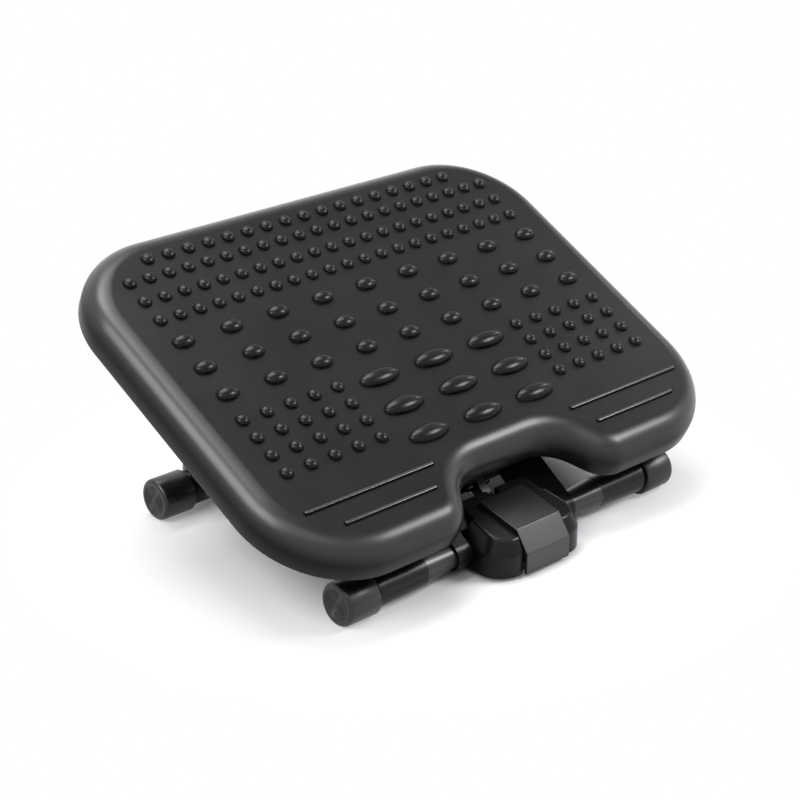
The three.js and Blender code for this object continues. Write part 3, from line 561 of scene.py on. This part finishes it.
def platform_outline():
    """Points of the outline with the direction that leads inwards, anticlockwise from above."""
    half = PLATFORM_WIDTH / 2
    front = -PIVOT_DEPTH
    rear = PLATFORM_DEPTH - PIVOT_DEPTH
    corners = [
        (half, front, 78, 22), (half, rear, 76, 22), (-half, rear, 76, 22), (-half, front, 78, 22),
        (-72.3, front, 30, 12), (-47, front + NOTCH_DEPTH, 38, 12),
        (47, front + NOTCH_DEPTH, 38, 12), (72.3, front, 30, 12),
    ]
    points = []
    for index, (_, _, radius, steps) in enumerate(corners):
        centre, start, turn = corner_round(corners, index)
        for step in range(steps + 1):
            angle = start + turn * step / steps
            spoke = Vector((math.cos(angle), math.sin(angle)))
            points.append((centre + spoke * radius, -spoke if turn > 0 else spoke))
    longest = 16
    spread = []
    for index, (point, inwards) in enumerate(points):
        spread.append((point, inwards))
        following, next_inwards = points[(index + 1) % len(points)]
        extra = int((following - point).length // longest)
        if extra and (next_inwards - inwards).length < 0.01:
            for step in range(1, extra + 1):
                spread.append((point.lerp(following, step / (extra + 1)), inwards))
    return spread


def rim_profile():
    """Inset and height of each ring from the middle of the ceiling round the lip to the top."""
    inner_radius = RIM_RADIUS - WALL
    bend = LIP_HEIGHT + 9
    inner = [
        (WALL + inner_radius * (1 - math.cos(a)), bend + inner_radius * math.sin(a))
        for a in [math.radians(90 - 15 * step) for step in range(7)]]
    lip = [
        (WALL, LIP_HEIGHT + LIP_ROUND), (WALL - LIP_STEP, LIP_HEIGHT + LIP_STEP),
        (WALL - LIP_ROUND, LIP_HEIGHT), (LIP_ROUND, LIP_HEIGHT),
        (LIP_STEP, LIP_HEIGHT + LIP_STEP), (0, LIP_HEIGHT + LIP_ROUND),
    ]
    outer = []
    for degrees in range(0, 91, 6):
        a = math.radians(degrees)
        eased = RIM_RADIUS - RIM_EASE * math.sin(2 * a)
        outer.append((RIM_RADIUS - eased * math.cos(a), bend + eased * math.sin(a)))
    return inner, lip, outer


def ring_at(outline, inset, height):
    return [(*(point + inwards * inset), height) for point, inwards in outline]


def ellipse_ring(centre, half_length, half_width, height, steps):
    angles = [2 * math.pi * index / steps for index in range(steps)]
    return [
        (centre[0] + half_length * math.cos(a), centre[1] + half_width * math.sin(a), height)
        for a in angles]


def grip_ring(centre, half_length, radius, height):
    """A ring round a straight rib with round ends."""
    straight = half_length - GRIP_RADIUS
    points = []
    for side, start in ((1, -90), (-1, 90)):
        for step in range(9):
            x, y = on_circle((0, 0), radius, start + 180 * step / 8)
            points.append((centre[0] + side * straight + x, centre[1] + y, height))
    return points


def dome_levels(half_length, half_width, height, steps):
    """Half length, half width and height of the rings from a bump's foot to near its top."""
    levels = []
    for degrees in (270, 240, 210):
        a = math.radians(degrees)
        out = BUMP_FOOT * (1 + math.cos(a))
        levels.append((half_length + out, half_width + out, BUMP_FOOT * (1 + math.sin(a))))
    for step in range(steps):
        a = math.radians(90 * step / steps)
        rise = BUMP_FOOT + (height - BUMP_FOOT) * math.sin(a)
        levels.append((half_length * math.cos(a), half_width * math.cos(a), rise))
    return levels


def bump_places():
    """Centre and form of every massage bump."""
    for form, depth, count, pitch in BUMP_ROWS:
        for index in range(count):
            x = (index - (count - 1) / 2) * pitch * PLATFORM_WIDTH
            yield (x, depth * PLATFORM_DEPTH - PIVOT_DEPTH), form
    for depth in SIDE_BUMP_ROWS:
        for side in (-1, 1):
            for index in range(5):
                x = (side * SIDE_BUMP_CENTRE + (index - 2) * SIDE_BUMP_PITCH) * PLATFORM_WIDTH
                yield (x, depth * PLATFORM_DEPTH - PIVOT_DEPTH), SMALL_BUMP


def grip_rib_places():
    """Centre and half length of every grip rib."""
    for depth, inner, outer in GRIP_RIBS:
        for side in (-1, 1):
            yield (side * (inner + outer) / 2, depth - PIVOT_DEPTH), (outer - inner) / 2


def bracket_screw_places(side):
    return [(side * (64 + reach), end * 18) for reach in (11, 22) for end in (-1, 1)]


def platform_shell():
    """The platform without its bumps, with the ribs and screw bosses under it."""
    outline = platform_outline()
    inner, lip, outer = rim_profile()
    shell = lofted([ring_at(outline, inset, height) for inset, height in inner + lip + outer])
    low, high = PLATFORM_TOP - UNDER_RIB_DROP, PLATFORM_TOP - WALL / 2
    far, upper = 400, LIP_HEIGHT + 20
    # The ribs end inside the walls, so they are kept to half a wall more than the hollow.
    room = lofted([
        ring_at(outline, inset - WALL / 2, height + (WALL / 2 if height > upper else 0))
        for inset, height in reversed(inner)])
    ribs = None
    for side in (-1, 1):
        for place in UNDER_RIB_PLACES:
            x = side * place
            rib = brick(x - UNDER_RIB_HALF, x + UNDER_RIB_HALF, -far, far, low, high)
            ribs = rib if ribs is None else fused(ribs, rib)
    for index in range(4):
        y = (index - 1.5) * UNDER_RIB_PITCH
        ribs = fused(ribs, brick(-far, far, y - UNDER_RIB_HALF, y + UNDER_RIB_HALF, low, high))
    ribs = combined(ribs, room, "INTERSECT")
    places = [place for side in (-1, 1) for place in bracket_screw_places(side)]
    for x, y in places:
        ribs = fused(ribs, bar_z(BOSS_RADIUS, PLATFORM_TOP - BOSS_DROP, high, x, y, 20))
    shell = fused(shell, ribs)
    for x, y in places:
        shell = cut(shell, bar_z(BOSS_HOLE, 0, BOSS_HOLE_TOP, x, y, 12))
    return shell


def platform():
    """The platform, whose flat top is one sheet of triangles between the rim, bumps and ribs."""
    mesh = platform_shell()
    top = [f for f in mesh.faces if min(v.co.z for v in f.verts) > PLATFORM_TOP - 0.001]
    bmesh.ops.delete(mesh, geom=top, context="FACES_ONLY")
    outline = platform_outline()
    loops = [ring_at(outline, RIM_RADIUS, PLATFORM_TOP)]
    bumps = list(bump_places())
    grips = list(grip_rib_places())

    def raised(rings, crest, shaded_foot_rings, finish):
        """Closes rings over a crest, or flat. The rings at the foot get painted shade: a near black
        crease where shade would fall.
        """
        made = [[mesh.verts.new(point) for point in ring] for ring in rings]
        before = set(mesh.faces)
        for level, (here, there) in enumerate(zip(made, made[1:])):
            if level == shaded_foot_rings:
                for face in set(mesh.faces) - before:
                    face.material_index = CREASE_SHADE
                before = set(mesh.faces)
            bridge(mesh, here, there)
        if crest is None:
            mesh.faces.new(made[-1])
        else:
            bridge(mesh, made[-1], [mesh.verts.new(crest)])
        for face in set(mesh.faces) - before:
            face.material_index = finish

    for centre, form in bumps:
        length, width, height = form
        rings = [
            ellipse_ring(centre, a, b, PLATFORM_TOP + rise, BUMP_STEPS[form])
            for a, b, rise in dome_levels(length / 2, width / 2, height, 6)]
        loops.append(rings[0])
        # The two rings at each bump's foot get the painted shade.
        raised(rings, (*centre, PLATFORM_TOP + height), 2, BUMP)
    for centre, half_length in grips:
        rings = []
        for out, rise in GRIP_RISE:
            rings.append(grip_ring(centre, half_length, GRIP_RADIUS + out, PLATFORM_TOP + rise))
        loops.append(rings[0])
        # The sides of each rib get the painted shade, and its top the worn finish.
        raised(rings, None, 4, WORN)

    flat_points, edges = [], []
    for loop in loops:
        first = len(flat_points)
        flat_points += [Vector(point[:2]) for point in loop]
        edges += [(first + i, first + (i + 1) % len(loop)) for i in range(len(loop))]
    points, _, triangles, _, _, _ = delaunay_2d_cdt(flat_points, edges, [], 0, 1e-5)
    rim = [Vector(point[:2]) for point in loops[0]]

    def on_top(spot):
        """Whether a spot lies inside the rim and clear of every bump and rib."""
        inside = False
        for a, b in zip(rim, rim[1:] + rim[:1]):
            if (a.y > spot.y) != (b.y > spot.y):
                if spot.x < a.x + (b.x - a.x) * (spot.y - a.y) / (b.y - a.y):
                    inside = not inside
        if not inside:
            return False
        for (x, y), (length, width, _) in bumps:
            a, b = length / 2 + BUMP_FOOT, width / 2 + BUMP_FOOT
            if ((spot.x - x) / a) ** 2 + ((spot.y - y) / b) ** 2 < 1:
                return False
        for (x, y), half in grips:
            past_end = max(abs(spot.x - x) - (half - GRIP_RADIUS), 0)
            if math.hypot(past_end, spot.y - y) < GRIP_RADIUS + GRIP_FOOT:
                return False
        return True

    made = [mesh.verts.new((*point, PLATFORM_TOP)) for point in points]
    for a, b, c in triangles:
        if on_top((points[a] + points[b] + points[c]) / 3):
            mesh.faces.new((made[a], made[b], made[c]))
    bmesh.ops.remove_doubles(mesh, verts=mesh.verts, dist=0.004)
    loose = [v for v in mesh.verts if not v.link_faces]
    bmesh.ops.delete(mesh, geom=loose, context="VERTS")
    facing_out(mesh)
    thing = piece(
        "footrest_platform", mesh, AT_TILT_AXLE, "platform", platform_black,
        ["platform"], sharp=50)
    for finish in (glossy_black, painted_crease_shade, worn_black):
        thing.data.materials.append(finish)
    back = AT_TILT_AXLE.inverted()
    up = platform_up()
    # A zero normal keeps the one that the mesh has, so only the flat top is changed.
    normals = [
        up if abs((back @ v.co).z - PLATFORM_TOP) < 0.003 else Vector((0, 0, 0))
        for v in thing.data.vertices]
    thing.data.normals_split_custom_set_from_vertices(normals)


# Feet

def ridged_end(start, end, place, pitch, depth):
    """Fine rings round the middle of a cap's end face."""
    points = []
    radius = start
    while radius > end:
        points += [
            (place, radius), (place - depth * 0.7, radius - pitch * 0.3),
            (place - depth, radius - pitch * 0.5), (place - depth * 0.7, radius - pitch * 0.7)]
        radius -= pitch
    return points + [(place, radius)]


def foot_caps(prefix, place):
    bore = TUBE_RADIUS + GAP
    edge = arc((CAP_OUTER - CAP_ROUND, CAP_RADIUS - CAP_ROUND), CAP_ROUND, 90, 0, 6)
    profile = [
        (CAP_OUTER - CAP_END, 0), (CAP_OUTER - CAP_END, bore),
        (CAP_INNER, bore), (CAP_INNER, CAP_RADIUS - 1.5),
        (CAP_INNER + 0.35, CAP_RADIUS - 0.5), (CAP_INNER + 1.2, CAP_RADIUS),
        *edge, *ridged_end(CAP_RADIUS - CAP_ROUND - 1, 1.6, CAP_OUTER, 1.5, 0.6), (CAP_OUTER, 0),
    ]
    for word, side in SIDES:
        mesh = turned(profile, side, 88, sole=SOLE_DROP)
        piece(
            f"{prefix}_rubber_cap_{word}", mesh, place, "base", cap_rubber,
            [f"{prefix}_foot_cap_{word}"], sharp=46)


def front_foot():
    bore = TUBE_RADIUS + GAP
    inner, outer = ARM_OUTER + GAP + 0.8, CAP_INNER - GAP
    groove = SLEEVE_OUTER - SLEEVE_GROOVE
    profile = [
        (inner, bore), (inner, SLEEVE_NECK - 0.5), (inner + 0.5, SLEEVE_NECK),
        (NECK_END - 0.5, SLEEVE_MIDDLE - 0.4), (NECK_END, SLEEVE_MIDDLE),
        (outer - 1.7, SLEEVE_OUTER), (outer - 1.2, groove), (outer, groove), (outer, bore),
    ]
    for word, side in SIDES:
        mesh = turned(profile, side)
        for face in mesh.faces:
            face.material_index = int(abs(face.calc_center_median().x) < NECK_END)
        cover = piece(
            f"front_sleeve_cover_{word}", mesh, AT_FRONT_AXLE, "base",
            sleeve_black, [f"front_sleeve_{word}"], sharp=25)
        cover.data.materials.append(neck_black)
    foot_caps("front", AT_FRONT_AXLE)


def rear_foot():
    bore = TUBE_RADIUS + GAP
    inner, outer = REAR_SLEEVE_INNER, CAP_INNER - GAP
    groove = SLEEVE_OUTER - SLEEVE_GROOVE
    profile = [
        (inner, bore), (inner, SLEEVE_OUTER - 0.6), (inner + 0.6, SLEEVE_OUTER),
        (outer - 2.2, SLEEVE_OUTER), (outer - 1.6, SLEEVE_OUTER - 0.2), (outer - 1.2, groove),
        (outer, groove), (outer, bore),
    ]
    for word, side in SIDES:
        piece(
            f"rear_sleeve_cover_{word}", turned(profile, side), AT_REAR_AXLE, "base",
            sleeve_black, [f"rear_sleeve_{word}"], sharp=25)
    foot_caps("rear", AT_REAR_AXLE)


def foot_tube(prefix, place):
    half = CAP_OUTER - CAP_END - GAP
    inside = TUBE_RADIUS - TUBE_WALL
    profile = [
        (-half, inside), (-half, TUBE_RADIUS - 0.3), (-half + 0.3, TUBE_RADIUS),
        (half - 0.3, TUBE_RADIUS), (half, TUBE_RADIUS - 0.3), (half, inside),
    ]
    piece(
        f"{prefix}_steel_tube", turned(profile), place, "base", black_steel,
        [f"{prefix}_tube"])


# Front block

def block_plan():
    """Each point of the block's outline, how it moves as the walls lean in, and the way inwards."""
    centre_x, centre_y = BLOCK_HALF - BLOCK_CORNER, BLOCK_CORNER - BLOCK_FRONT
    right = []
    for step in range(15):
        a = math.radians(-90 + 90 * step / 14)
        spoke = Vector((math.cos(a), math.sin(a)))
        right.append((Vector((centre_x, centre_y)) + spoke * BLOCK_CORNER, -spoke, -spoke))
    right.append((Vector((BLOCK_HALF, 0)), Vector((-1, 0)), Vector((-1, -1))))
    right.append((Vector((BLOCK_TAIL_HALF, 0)), Vector((0, 0)), Vector((-1, -1))))
    right.append((Vector((BLOCK_TAIL_HALF, BLOCK_TAIL)), Vector((0, 0)), Vector((-1, -1))))

    def mirrored(v):
        return Vector((-v.x, v.y))

    left = [tuple(mirrored(v) for v in row) for row in reversed(right)]
    return right + left


def block_top(y):
    """Height of the block's sloping top, which is the pedal's slope carried on."""
    return 35.4 + (y + 30) * PEDAL_SLOPE - 4


def front_block():
    plan = block_plan()

    def level(inset, height):
        return [(*(start + lean * inset), height) for start, lean, _ in plan]

    rings = [
        level(0.7, BLOCK_LOW), level(0.2, BLOCK_LOW + 0.2), level(0, BLOCK_LOW + 0.7),
        level(0, BLOCK_SHOULDER - 1.6), level(0.08, BLOCK_SHOULDER - 0.6),
        level(0.3, BLOCK_SHOULDER + 0.4), level(0.8, BLOCK_SHOULDER + 1.6)]
    corner = []
    for start, lean, _ in plan:
        inset = (block_top(start.y) - BLOCK_SHOULDER) / (2 - PEDAL_SLOPE * lean.y)
        corner.append((start + lean * inset, inset))
    below, edge, above = [], [], []
    for (spot, inset), (start, lean, inwards) in zip(corner, plan):
        top = block_top(spot.y)
        lower_spot = start + lean * (inset - 0.9) if lean.length else spot
        lower = Vector((*lower_spot, top - 1.8))
        upper_spot = spot + inwards * 1.8
        upper = Vector((*upper_spot, block_top(upper_spot.y)))
        below.append(lower)
        edge.append((lower + upper) / 2 * 0.45 + Vector((*spot, top)) * 0.55)
        above.append(upper)
    rings += [below, edge, above]
    mesh = lofted(rings)
    far = 120
    axle = front_axle.z / MM
    plate_seat = [start + inwards * 2.5 for start, _, inwards in plan]
    mesh = cut(
        mesh,
        brick(-SLOT_HALF, SLOT_HALF, -far, SLOT_BACK, SLOT_FLOOR, far),
        brick(-SLOT_HALF, SLOT_HALF, -far, -33.5, 0, far),
        slab_z(plate_seat, 0, PLATE_ROOM),
    )
    reach = SLOT_HALF + 0.5
    boss = cut(bar_x(12, -reach, reach, 0, axle), brick(-far, far, -far, far, -far, PLATE_ROOM))
    cradle = brick(-reach, reach, 0, SLOT_BACK + 0.5, PLATE_ROOM, axle)
    mesh = fused(mesh, boss, cradle)
    mesh = cut(
        mesh,
        brick(-SECTOR_ROOM_HALF, SECTOR_ROOM_HALF, -far, far, axle + 3, far),
        bar_x(TUBE_RADIUS + GAP, -far, far, 0, axle),
        bar_x(PIN_ROOM, -PIN_HALF, PIN_HALF, *PIN_PLACE, 20),
    )
    piece(
        "front_block_housing", mesh, AT_FLOOR, "base", block_black,
        ["front_block"], edge=0.5, edge_angle=50)


# Lift arm, drawn about the front axle

def along_arm(distance, height):
    """A spot at a distance up the arm's slope from its axle, and at a height above that line."""
    y, z = on_circle((0, 0), distance, ARM_SLOPE)
    return on_circle((y, z), height, ARM_SLOPE + 90)


def arm_profile(end):
    """A round at the axle and a round at the end, with straight lines that touch both."""
    lower_turn = ARM_ANGLE - 90 + math.degrees(math.asin((ARM_BARREL - ARM_END) / ARM_LENGTH))
    return [
        *arc((0, 0), ARM_BARREL, ARM_SLOPE + 90, 360 + lower_turn, 30),
        *arc(end, ARM_END, lower_turn, ARM_SLOPE + 90, 24),
    ]


def lift_arm():
    end = on_circle((0, 0), ARM_LENGTH, ARM_ANGLE)
    far = 120
    web = [along_arm(45, -6), along_arm(51, -6), along_arm(51, 10), along_arm(45, 10)]
    arm = fused(
        bar_x(ARM_END, -ARM_OUTER, ARM_OUTER, *end, 48),
        slab_x(web, -ARM_INNER - 1, ARM_INNER + 1))
    for side in (-1, 1):
        leg = slab_x(arm_profile(end), *sorted((side * ARM_INNER, side * ARM_OUTER)))
        block_room = [
            (-far, -far), (9, -far), (9, -ARM_BARREL), (2, ARM_BARREL), (2, far), (-far, far)]
        leg = cut(leg, slab_x(block_room, *sorted((0, side * BUSHING_SEAT))))
        skins = sorted((side * (ARM_INNER + ARM_SKIN), side * (ARM_OUTER - ARM_SKIN)))
        for start, stop in ARM_CELLS:
            cell = [
                along_arm(start, -80), along_arm(stop, -80),
                along_arm(stop, ARM_CELL_TOP), along_arm(start, ARM_CELL_TOP)]
            leg = cut(leg, slab_x(cell, *skins))
        arm = fused(arm, leg)
    arm = cut(
        arm,
        bar_x(FLANGE_RADIUS + GAP, -BUSHING_SEAT, BUSHING_SEAT),
        bar_x(BUSHING_RADIUS + GAP, -far, far),
        bar_x(ROD_RADIUS + GAP, -far, far, *end, 32))
    piece(
        "lift_arm_yoke", arm, AT_FRONT_AXLE, "lift_arm", block_black,
        ["lift_arm"], edge=0.8, edge_angle=35)


def arm_bushings():
    """Flanged sleeves that line the arm's barrels on the front tube."""
    bore = TUBE_RADIUS + GAP
    start, flange, stop = BLOCK_HALF + GAP, BUSHING_SEAT - GAP, ARM_OUTER + GAP
    profile = [
        (start, bore), (start, FLANGE_RADIUS - 0.2), (start + 0.2, FLANGE_RADIUS),
        (flange, FLANGE_RADIUS), (flange, BUSHING_RADIUS), (stop - 0.2, BUSHING_RADIUS),
        (stop, BUSHING_RADIUS - 0.2), (stop, bore)]
    for word, side in SIDES:
        piece(
            f"arm_bearing_{word}", turned(profile, side), AT_FRONT_AXLE, "lift_arm",
            black_nylon, [f"arm_bushing_{word}"])


# Tilt joint under the platform

def tilt_joint():
    """The rod, with a washer beside each end of the arm and a cap over each end of the rod."""
    cap_start, cap_radius, cap_depth = 69.3, 8, 6
    bore = ROD_RADIUS + GAP
    half = cap_start + cap_depth - GAP
    rod = [
        (-half, 0), (-half, ROD_RADIUS - 0.4), (-half + 0.4, ROD_RADIUS),
        (half - 0.4, ROD_RADIUS), (half, ROD_RADIUS - 0.4), (half, 0)]
    piece(
        "tilt_shaft", turned(rod, turns=40), AT_TILT_AXLE, "platform",
        bright_steel, ["tilt_rod"])
    start, stop, rim = ARM_OUTER + GAP, 63.7, 11
    washer = [
        (start, bore), (start, rim - 0.3), (start + 0.3, rim),
        (stop - 0.3, rim), (stop, rim - 0.3), (stop, bore)]
    deep, end, round_end = cap_start + cap_depth, cap_start + 9.7, 2.5
    cap = [
        (deep, 0), (deep, bore), (cap_start, bore), (cap_start, cap_radius - 0.3),
        (cap_start + 0.3, cap_radius),
        *arc((end - round_end, cap_radius - round_end), round_end, 90, 0, 6), (end, 0)]
    for word, side in SIDES:
        piece(
            f"tilt_washer_{word}", turned(washer, side), AT_TILT_AXLE, "platform",
            black_nylon, [f"friction_washer_{word}"])
        piece(
            f"tilt_end_cap_{word}", turned(cap, side, 48), AT_TILT_AXLE, "platform",
            cap_rubber, [f"tilt_rod_cap_{word}"])


# Rear saddle, drawn about the rear axle

def rear_saddle():
    """A hollow barrel with domed ends, with bulkheads and a wall where the spine is screwed."""
    far = 200

    def section(x, shrink):
        outline = rounded([(-18, -8, 2), (18, -8, 2), (18, 28, 15), (-18, 28, 15)], 8)
        return [
            (x, y * shrink, SADDLE_MIDDLE + (z - SADDLE_MIDDLE) * shrink) for y, z in outline]

    places = []
    for step in range(10):
        a = math.radians(90 * step / 10)
        places.append((SADDLE_BARREL + SADDLE_DOME * math.sin(a), math.cos(a)))
    places.append((SADDLE_BARREL + SADDLE_DOME - 0.02, 0.07))
    left = [section(-x, shrink) for x, shrink in reversed(places)]
    right = [section(x, shrink) for x, shrink in places]
    inside = rounded([(-15, -far, 0), (15, -far, 0), (15, 25, 11), (-15, 25, 11)], 6)
    hollow = slab_x(inside, -SADDLE_HOLLOW, SADDLE_HOLLOW)
    for side in (-1, 1):
        for start in (40, 97):
            bulkhead = sorted((side * start, side * (start + 4)))
            hollow = cut(hollow, brick(*bulkhead, -far, far, -8, far))
    hollow = cut(hollow, brick(-22, 22, -far, -9.5, -8, 12))
    saddle = cut(lofted(left + right), hollow, bar_x(TUBE_RADIUS + GAP, -far, far))
    for side in (-1, 1):
        socket = sorted((side * (REAR_SLEEVE_INNER - GAP), side * far))
        saddle = cut(saddle, bar_x(SLEEVE_OUTER + GAP, *socket, steps=56))
    piece(
        "rear_saddle_cover", saddle, AT_REAR_AXLE, "base", neck_black,
        ["rear_saddle"], edge=0.6, edge_angle=50)


# Pedal spring

def pedal_spring():
    """The wound spring that stands in the block and shortens as the pedal goes down."""
    low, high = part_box("pedal_spring")
    foot = Vector(((low.x + high.x) / 2, (low.y + high.y) / 2, low.z))
    radius, wire, turns, steps = 3.2, 0.55, 5, 20
    rise = (high.z - low.z) / MM - 2 * wire
    rings = []
    for step in range(turns * steps + 1):
        height = wire + rise * step / (turns * steps)
        ring = []
        for index in range(8):
            out, up = on_circle((radius, height), wire, 45 * index)
            ring.append((*on_circle((0, 0), out, 360 * step / steps), up))
        rings.append(ring)
    place = Matrix.Translation(foot) @ MILLIMETRES
    spring = piece(
        "pedal_return_spring", lofted(rings), place, "base", bright_steel,
        ["pedal_spring"])
    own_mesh(spring)


# Screws

def screw(length):
    """A pan head screw with a cross recess, its tip along z and its seat at zero."""
    head = [
        (-SCREW_HEAD, 0), (-SCREW_HEAD, 1.9), (-2.1, 2.9), (-1.2, SCREW_HEAD_RADIUS),
        (-0.2, SCREW_HEAD_RADIUS), (0, SCREW_HEAD_RADIUS - 0.2), (0, SCREW_RADIUS)]
    profile = head + [(length - 1, SCREW_RADIUS), (length, 1.0), (length, 0)]
    mesh = turned(profile, turns=32)
    bmesh.ops.rotate(mesh, verts=mesh.verts, matrix=Matrix.Rotation(math.radians(-90), 3, "Y"))
    long, thin, low, high = 2.1, 0.4, -4, -1.3
    return cut(
        mesh,
        brick(-long, long, -thin, thin, low, high),
        brick(-thin, thin, -long, long, low, high))


def put_screw(node, length, place, at, body, turn=Matrix.Identity(4), finish=bright_steel):
    where = at @ Matrix.Translation(place) @ turn
    piece(f"{node}_head", screw(length), where, body, finish, [node])


def screws():
    for index, (x, y) in enumerate(BASE_PLATE_SCREWS):
        put_screw(f"base_plate_screw_{index + 1}", 10, (x, y, 3.5), AT_FLOOR, "base")
    lean = Matrix.Rotation(math.radians(ARM_SLOPE - 90), 4, "X")
    for word, side in SIDES:
        for end, y, degrees in SPINE_SCREWS:
            turn = Matrix.Rotation(math.radians(degrees), 4, "X")
            put_screw(f"spine_screw_{end}_{word}", 11, (side * 12, y, 12), AT_FLOOR, "base", turn)
        place = (side * 8, *along_arm(41.4, 2.25))
        put_screw(f"sector_screw_{word}", 9, place, AT_FRONT_AXLE, "lift_arm", lean, oiled_steel)
        for index, (x, y) in enumerate(bracket_screw_places(side)):
            node = f"bracket_screw_{word}_{index + 1}"
            put_screw(node, 13, (x, y, 22.4), AT_TILT_AXLE, "platform")


platform()
front_foot()
rear_foot()
foot_tube("front", AT_FRONT_AXLE)
foot_tube("rear", AT_REAR_AXLE)
front_block()
lift_arm()
arm_bushings()
tilt_joint()
rear_saddle()
pedal_spring()
screws()
dressed("release_pedal", pedal_black, 0.7, 18)
dressed("block_base_plate", block_black, 0.4)
dressed("base_spine", satin_black, 0.5)
dressed("height_sector", black_steel, 0.3)
dressed("brake_shoe", shoe_rubber, 0.3)
dressed("pedal_pin", bright_steel, 0.3, 50)
dressed("tilt_bracket_left", black_nylon, 0.4)
dressed("tilt_bracket_right", black_nylon, 0.4)


# Floor, light and camera

FLOOR_FADE = 1.1
WORLD_FILL = 0.12

# Name, direction from the footrest, distance, width and height in metres, and power in watts
SOFTBOXES = (
    ("top_softbox", (0.02, 0.3, 0.95), 2.2, 1.6, 1.6, 56),
    ("right_softbox", (0.86, 0.1, 0.5), 1.6, 0.13, 0.3, 1.4),
    ("front_softbox", (0.61, -0.54, 0.58), 1.8, 0.6, 0.5, 18),
    ("left_softbox", (-0.7, -0.02, 0.68), 1.7, 1.2, 0.7, 19),
    ("fill_softbox", (-0.35, -0.6, 0.8), 2.2, 1.5, 1.0, 5),
)


def seen_directly(finish):
    """One for a ray from the camera, a shiny surface or glass, and zero for scattered light."""
    kinds = ("Is Camera Ray", "Is Glossy Ray", "Is Transmission Ray")
    camera, glossy, glass = (finish.add("ShaderNodeLightPath", output=kind) for kind in kinds)
    return finish.add("ShaderNodeMath", {0: camera + glossy, 1: glass}, operation="MAXIMUM")


def pale_floor():
    """A white floor that takes the shadow close to the footrest and runs out into plain white."""
    finish = Finish(bpy.data.materials.new("pale_floor"))
    place = finish.add("ShaderNodeTexCoord", output="Object")
    spread = finish.add("ShaderNodeMapping", {"Vector": place, "Scale": (FLOOR_FADE,) * 3})
    nearness = finish.add(
        "ShaderNodeTexGradient", {"Vector": spread}, output="Fac", gradient_type="SPHERICAL")
    far_off = finish.add(
        "ShaderNodeValToRGB", {"Fac": nearness}, stops=((0.66, plain(1)), (0.86, plain(0))))
    seen = seen_directly(finish)
    near = finish.add("ShaderNodeMixShader", {
        "Fac": seen,
        1: finish.add("ShaderNodeBsdfDiffuse", {"Color": grey(0.35)}),
        2: finish.add("ShaderNodeBsdfDiffuse", {"Color": grey(0.92)}),
    })
    white = finish.add("ShaderNodeEmission", {"Color": plain(1), "Strength": 1.0})
    surface = finish.add("ShaderNodeMixShader", {"Fac": far_off * seen, 1: near, 2: white})
    finish.add("ShaderNodeOutputMaterial", {"Surface": surface})
    bpy.ops.mesh.primitive_plane_add(size=40, location=(0, 0, 0))
    floor = bpy.context.object
    floor.name = "studio_floor"
    floor.data.materials.append(finish.owner)


def studio_world():
    """White where it is seen, and a dim even light for all else."""
    world = bpy.data.worlds.new("studio")
    bpy.context.scene.world = world
    air = Finish(world)
    dim = air.add("ShaderNodeBackground", {"Strength": WORLD_FILL})
    white = air.add("ShaderNodeBackground", {"Color": plain(1), "Strength": 1.0})
    surface = air.add("ShaderNodeMixShader", {"Fac": seen_directly(air), 1: dim, 2: white})
    air.add("ShaderNodeOutputWorld", {"Surface": surface})


def softbox(name, direction, distance, width, height, power):
    """An area lamp that looks at the footrest from a direction."""
    lamp = bpy.data.lights.new(name, "AREA")
    lamp.shape = "RECTANGLE"
    lamp.size = width
    lamp.size_y = height
    lamp.energy = power
    thing = bpy.data.objects.new(name, lamp)
    bpy.context.scene.collection.objects.link(thing)
    aim = Vector(direction).normalized()
    thing.location = Vector((0, 0, 0.1)) + aim * distance
    thing.rotation_mode = "QUATERNION"
    thing.rotation_quaternion = aim.to_track_quat("Z", "Y")


pale_floor()
studio_world()
for lamp in SOFTBOXES:
    softbox(*lamp)

camera_data = bpy.data.cameras.new("camera")
camera_data.lens = 88.81
camera_data.sensor_width = 36
camera_data.clip_start = 0.01
camera = bpy.data.objects.new("camera", camera_data)
bpy.context.scene.collection.objects.link(camera)
camera.matrix_world = Matrix((
    (0.7431, 0.2724, -0.6112, -0.9167),
    (-0.6692, 0.304, -0.6781, -1.0124),
    (0.0011, 0.9129, 0.4082, 0.6928),
    (0, 0, 0, 1),
))
bpy.context.scene.camera = camera
bpy.context.scene.view_settings.view_transform = "Standard"
